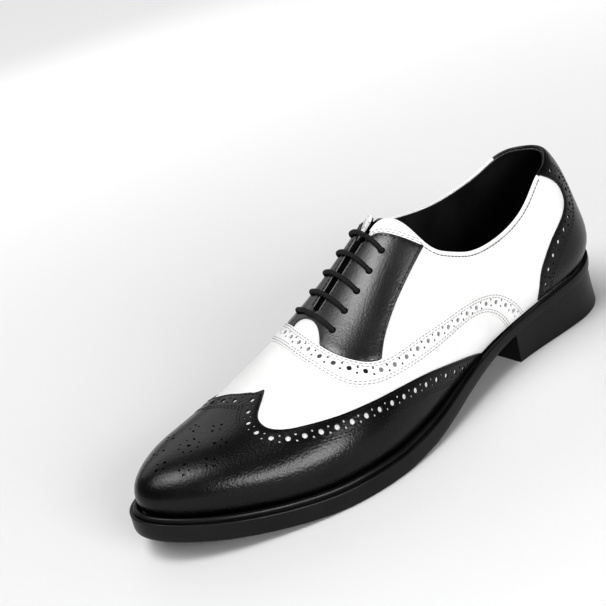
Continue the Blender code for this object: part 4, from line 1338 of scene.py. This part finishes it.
# rolled collar edge: white along both quarters, black over the counter
def buildBead():
    white = []
    black = []
    for side in (1, -1):
        line = collarLine(side)
        x = footX(line)
        black.append(line[x < ofSide(bead["blackTo"], side) + edgeSpacing])
        white.append(line[x > ofSide(bead["blackTo"], side)])
    black = [np.vstack([black[0][::-1], black[1][1:]])]
    newPiece("collarBead", edgeTubes(white, bead), whiteHide)
    newPiece("counterBead", edgeTubes(black, bead), capHide)


buildBead()

slitHighlight = {"radius": 0.3, "height": 1.12, "sides": 8}


# painted highlight: a pale tube along each facing's slit edge, standing in for the light caught there
def buildSlitHighlights():
    lines = [facingLines[side][2] for side in (1, -1)]
    newPiece("facingSlitHighlights", edgeTubes(lines, slitHighlight), slitEdgeHighlight)


buildSlitHighlights()

stitch = {"pitch": 2.3, "length": 1.8, "collarLength": 2.25, "radius": 0.24, "around": 6, "rings": 5,
          "taper": 0.9, "spots": 4, "fewestPoints": 4, "sunk": 0.02, "sharp": 80.0}


# one stitch: a grid of rings, thin at both ends, sunk halfway; every copy is placed on the row's own frame
def stitches(rows, height, length=stitch["length"]):
    t = np.linspace(-1.0, 1.0, stitch["rings"])
    girth = np.sqrt(np.maximum(0.0, 1.0 - stitch["taper"] * t**4))
    turn = np.arange(stitch["around"]) * 2 * np.pi / stitch["around"]
    shape = np.stack([np.broadcast_to(t[:, None] * length / 2, (len(t), len(turn))),
                      stitch["radius"] * girth[:, None] * np.cos(turn)[None],
                      stitch["radius"] * girth[:, None] * np.sin(turn)[None]], axis=-1).reshape(-1, 3)
    grid = np.arange(len(shape)).reshape(len(t), len(turn))
    faces = ringFaces(grid)
    caps = np.stack([grid[0, ::-1], grid[-1]])
    points = []
    for row in rows:
        if len(row) < stitch["fewestPoints"]:
            continue
        whole = travelled(lifted(row))[-1]
        count = max(1, int(whole / stitch["pitch"]))
        step = stitch["spots"]
        spots = atLengths(row, np.linspace(0.0, whole, step * count + 1))
        along, left, normals = lineFrame(spots)
        places = lifted(spots, height)
        pick = np.arange(step // 2, step * count, step)
        axes = np.stack([along[pick], left[pick], normals[pick]], axis=1)
        points.append(places[pick][:, None] + np.einsum("vk,nkd->nvd", shape, axes))
    points = np.concatenate(points)
    shift = np.arange(len(points))[:, None, None] * len(shape)
    allFaces = (faces[None] + shift).reshape(-1, 4)
    allCaps = (caps[None] + shift).reshape(-1, stitch["around"])
    return points.reshape(-1, 3), [allFaces, allCaps]


# rows at several distances from both edges of a panel
def rowsBeside(pair, distances, turn, outline):
    return [rowInPanel(ofSide(pair, side), distance, side * turn, outline, ofSide(pair, -side))
            for side in (1, -1) for distance in distances]


stitchRows = {  # distances from the edge
    "wing": (1.1, 8.7, 10.2),
    "counter": (1.1, 8.1, 9.5),
    "band": (1.0, 2.3),
    "facing": 1.35,
    "collar": 1.5,
    "collarFrom": 1.0,
    "collarTo": 129.0,
    "ear": (1.2, 2.4),
}


# stitch rows beside the edges of the panels, one piece for each thread
def buildStitches():
    onOverlay = layers["overlayHigh"] - stitch["sunk"]
    onUpper = layers["upperHigh"] - stitch["sunk"]
    sharp = stitch["sharp"]
    rows = rowsBeside(wingEdges, stitchRows["wing"], 1, wingOutline)
    rows += rowsBeside(counterEdges, stitchRows["counter"], -1, counterOutline)
    for side, (rear, top, slitEdge, outline) in facingLines.items():
        for line in (rear, top, slitEdge):
            row = rowBeside(line, stitchRows["facing"], side)
            rows.append(row[longestRun(inside(row, outline))])
    newPiece("blackStitches", stitches(rows, onOverlay), blackThread, sharp=sharp)
    rows = rowsBeside(bandUpper, stitchRows["band"], 1, bandOutline)
    rows += rowsBeside(bandLower, stitchRows["band"], -1, bandOutline)
    newPiece("bandStitches", stitches(rows, onOverlay), greyThread, sharp=sharp)
    rows = []
    for side in (1, -1):
        line = collarLine(side)
        x = footX(line)
        first = ofSide(bead["blackTo"], side) + stitchRows["collarFrom"]
        kept = (x > first) & (x < stitchRows["collarTo"])
        rows.append(rowBeside(line[kept], stitchRows["collar"], side))
    # dark, nearly unbroken stitches: the collar's thread, and also painted shade of the seam's groove
    solid = stitches(rows, onUpper, stitch["collarLength"])
    newPiece("collarStitches", solid, darkThreadAndShade, sharp=sharp)
    opening = collarOpening(0.0)
    rows = [rowBeside(facingLines[side][1], distance, -side)
            for side in (1, -1) for distance in stitchRows["ear"]]
    rows = [row[longestRun(~inside(row, opening))] for row in rows]
    newPiece("earStitches", stitches(rows, onUpper), greyThread, sharp=sharp)


buildStitches()


# Laces

lace = {
    "radius": 1.3,
    "lift": 2.65,
    "depth": 2.4,
    "downPoints": 5,
    "turnPoints": 9,
    "levelPoints": 12,
    "hiddenHeight": -2.75,
    "hiddenWide": 1.6,
    "hiddenThick": 0.6,
    "hiddenPoints": 30,
    "hiddenBow": 0.5,
    "hiddenRuns": (  # side, first eyelet, last eyelet, sideways shift
        (1, 4, 3, 0.0), (1, 2, 0, 1.7), (1, 1, 0, -1.7), (-1, 4, 2, 1.7), (-1, 3, 1, -1.7)),
}


# one bar: down each hole, a quarter turn, then level over the facings and the slit
def laceBar(row):
    bend = eyelet["radius"]
    turn = np.linspace(0.0, np.pi / 2, lace["turnPoints"])
    down = lace["downPoints"]
    level = lace["levelPoints"]
    middle = (eyeletCentres(1)[row, 0] + eyeletCentres(-1)[row, 0]) / 2
    crest = np.array((middle, spine(middle)))
    halves = []
    for side in (1, -1):
        centre = eyeletCentres(side)[row]
        gap = np.linalg.norm(lifted(np.array([crest])) - lifted(np.array([centre])))
        inward = np.concatenate([np.zeros(down), bend * (1 - np.cos(turn[1:])),
                                 np.linspace(bend, gap, level + 2)[1:-1]]) / gap
        height = np.concatenate([np.linspace(-lace["depth"], lace["lift"] - bend, down),
                                 lace["lift"] - bend + bend * np.sin(turn[1:]),
                                 np.full(level, lace["lift"])])
        flatLine = centre + (crest - centre) * inward[:, None]
        halves.append((lifted(flatLine, height), onSkin(flatLine)[1]))
    top = np.array([crest])
    path = np.vstack([halves[0][0], lifted(top, lace["lift"]), halves[1][0][::-1]])
    away = unit(np.gradient(path, axis=0))
    upright = np.vstack([halves[0][1], onSkin(top)[1], halves[1][1][::-1]])
    sideways = unit(np.cross(upright, path[-1] - path[0]))
    return tube(path, np.cross(sideways, away), lace["radius"], lace["radius"])


# hidden run between two eyelets of one side, bowed sideways as a sine, pressed flat between facing and tongue
def laceRun(side, first, last, shift):
    ends = eyeletCentres(side)[[first, last]]
    t = np.linspace(0.0, 1.0, lace["hiddenPoints"])
    line = ends[0] + (ends[1] - ends[0]) * t[:, None]
    line[:, 1] += shift * lace["hiddenBow"] * np.sin(np.pi * t)
    return tube(lifted(line, lace["hiddenHeight"]), onSkin(line)[1], lace["hiddenWide"], lace["hiddenThick"])


# a bar for each pair of eyelets, and the hidden runs in one piece
def buildLaces():
    for row in range(eyelet["rows"]):
        points, faces, uv = laceBar(row)
        node = f"lace_bar_{row + 1}"
        newPiece(f"laceBar{row + 1}", (points, faces), laceCotton, [node], uv=uv)
    runs = [laceRun(*run) for run in lace["hiddenRuns"]]
    solid = joined(*[(points, faces) for points, faces, uv in runs])
    runUv = np.concatenate([uv for points, faces, uv in runs])
    newPiece("laceUnderRuns", solid, laceCotton, uv=runUv)


buildLaces()


# Stage, light and camera

stage = {"half": 20.0, "colour": (0.78, 0.78, 0.78), "rough": 0.9, "world": (1.0, 1.0, 1.0),
         "worldStrength": 0.15, "glowFrom": 0.12, "glowTo": 0.95, "glow": (0.23, 0.23, 0.23)}


# pale floor with painted light: an emitted glow that grows with distance, standing in for a lit backdrop
def buildFloor():
    finish, tree, shader, coords = newFinish("paleFloor")
    shader.inputs["Base Color"].default_value = (*stage["colour"], 1.0)
    shader.inputs["Roughness"].default_value = stage["rough"]
    shader.inputs["Specular IOR Level"].default_value = 0.0
    away = addNode(tree, "ShaderNodeVectorMath", operation="LENGTH")
    tree.links.new(coords.outputs["Object"], away.inputs[0])
    far = addNode(tree, "ShaderNodeMapRange")
    far.inputs["From Min"].default_value = stage["glowFrom"]
    far.inputs["From Max"].default_value = stage["glowTo"]
    tree.links.new(away.outputs["Value"], far.inputs["Value"])
    # painted light: emission that brightens the floor further from the shoe
    glow = blendColours(tree, far.outputs["Result"], (0.0, 0.0, 0.0), stage["glow"])
    tree.links.new(glow, shader.inputs["Emission Color"])
    shader.inputs["Emission Strength"].default_value = 1.0
    mesh = bpy.data.meshes.new("floor")
    size = stage["half"]
    corners = [(-size, -size, 0), (size, -size, 0), (size, size, 0), (-size, size, 0)]
    mesh.from_pydata(corners, [], [(0, 1, 2, 3)])
    mesh.materials.append(finish)
    floor = bpy.data.objects.new("floor", mesh)
    bpy.context.scene.collection.objects.link(floor)
    world = bpy.data.worlds.new("paleRoom")
    world.use_nodes = True
    world.node_tree.nodes["Background"].inputs["Color"].default_value = (*stage["world"], 1.0)
    world.node_tree.nodes["Background"].inputs["Strength"].default_value = stage["worldStrength"]
    bpy.context.scene.world = world


softboxes = {  # azimuth, elevation, distance, width, height, watts
    "outerBox": (174.0, 21.0, 1.2, 0.62, 0.44, 6.8),
    "innerBox": (352.0, 32.0, 1.3, 1.3, 0.9, 2.4),
    "toeBox": (100.0, 68.0, 1.2, 0.42, 0.42, 2.6),
}
overhead = {"azimuth": 90.0, "elevation": 68.0, "distance": 2.0, "spread": 44.0, "strength": 0.95}
lightAim = (0.02, 0.01, 0.05)


# unit vector from the shoe to a light or camera
def bearing(azimuth, elevation):
    a, e = np.radians([azimuth, elevation])
    return np.array((np.sin(a) * np.cos(e), -np.cos(a) * np.cos(e), np.sin(e)))


# matrix from its three axes and its place
def columns(right, up, back, place):
    matrix = Matrix.Identity(4)
    for i, column in enumerate((right, up, back, place)):
        for j in range(3):
            matrix[j][i] = float(column[j])
    return matrix


# light on its bearing from the aim, facing it
def placeLight(light, back, distance):
    lamp = bpy.data.objects.new(light.name, light)
    right = unit(np.cross((0.0, 0.0, 1.0), back))
    lamp.matrix_world = columns(right, np.cross(back, right), back, back * distance + lightAim)
    bpy.context.scene.collection.objects.link(lamp)


# softboxes as area lights, and one wide sun overhead
def buildLights():
    for name, (azimuth, elevation, distance, width, height, watts) in softboxes.items():
        light = bpy.data.lights.new(name, "AREA")
        light.shape = "RECTANGLE"
        light.size = width
        light.size_y = height
        light.energy = watts
        placeLight(light, bearing(azimuth, elevation), distance)
    light = bpy.data.lights.new("overhead", "SUN")
    light.angle = np.radians(overhead["spread"])
    light.energy = overhead["strength"]
    placeLight(light, bearing(overhead["azimuth"], overhead["elevation"]), overhead["distance"])


view = {"azimuth": 147.28, "elevation": 23.42, "roll": -14.75, "distance": 0.60398, "lens": 69.56,
        "target": (0.01901, -0.02885, 0.06449), "sensor": 36.0, "nearest": 0.01}


# camera back from its target by azimuth and elevation, rolled about its own axis
def buildCamera():
    r = np.radians(view["roll"])
    back = bearing(view["azimuth"], view["elevation"])
    right = unit(np.cross(-back, (0.0, 0.0, 1.0)))
    up = np.cross(right, -back)
    data = bpy.data.cameras.new("photoView")
    data.sensor_width = view["sensor"]
    data.lens = view["lens"]
    data.clip_start = view["nearest"]
    camera = bpy.data.objects.new("photoView", data)
    rolledRight = np.cos(r) * right + np.sin(r) * up
    rolledUp = np.cos(r) * up - np.sin(r) * right
    place = np.array(view["target"]) + back * view["distance"]
    camera.matrix_world = columns(rolledRight, rolledUp, back, place)
    bpy.context.scene.collection.objects.link(camera)
    bpy.context.scene.camera = camera


buildFloor()
buildLights()
buildCamera()
bpy.context.scene.view_settings.view_transform = "Standard"
bpy.context.scene.view_settings.look = "High Contrast"

print("scene ready")
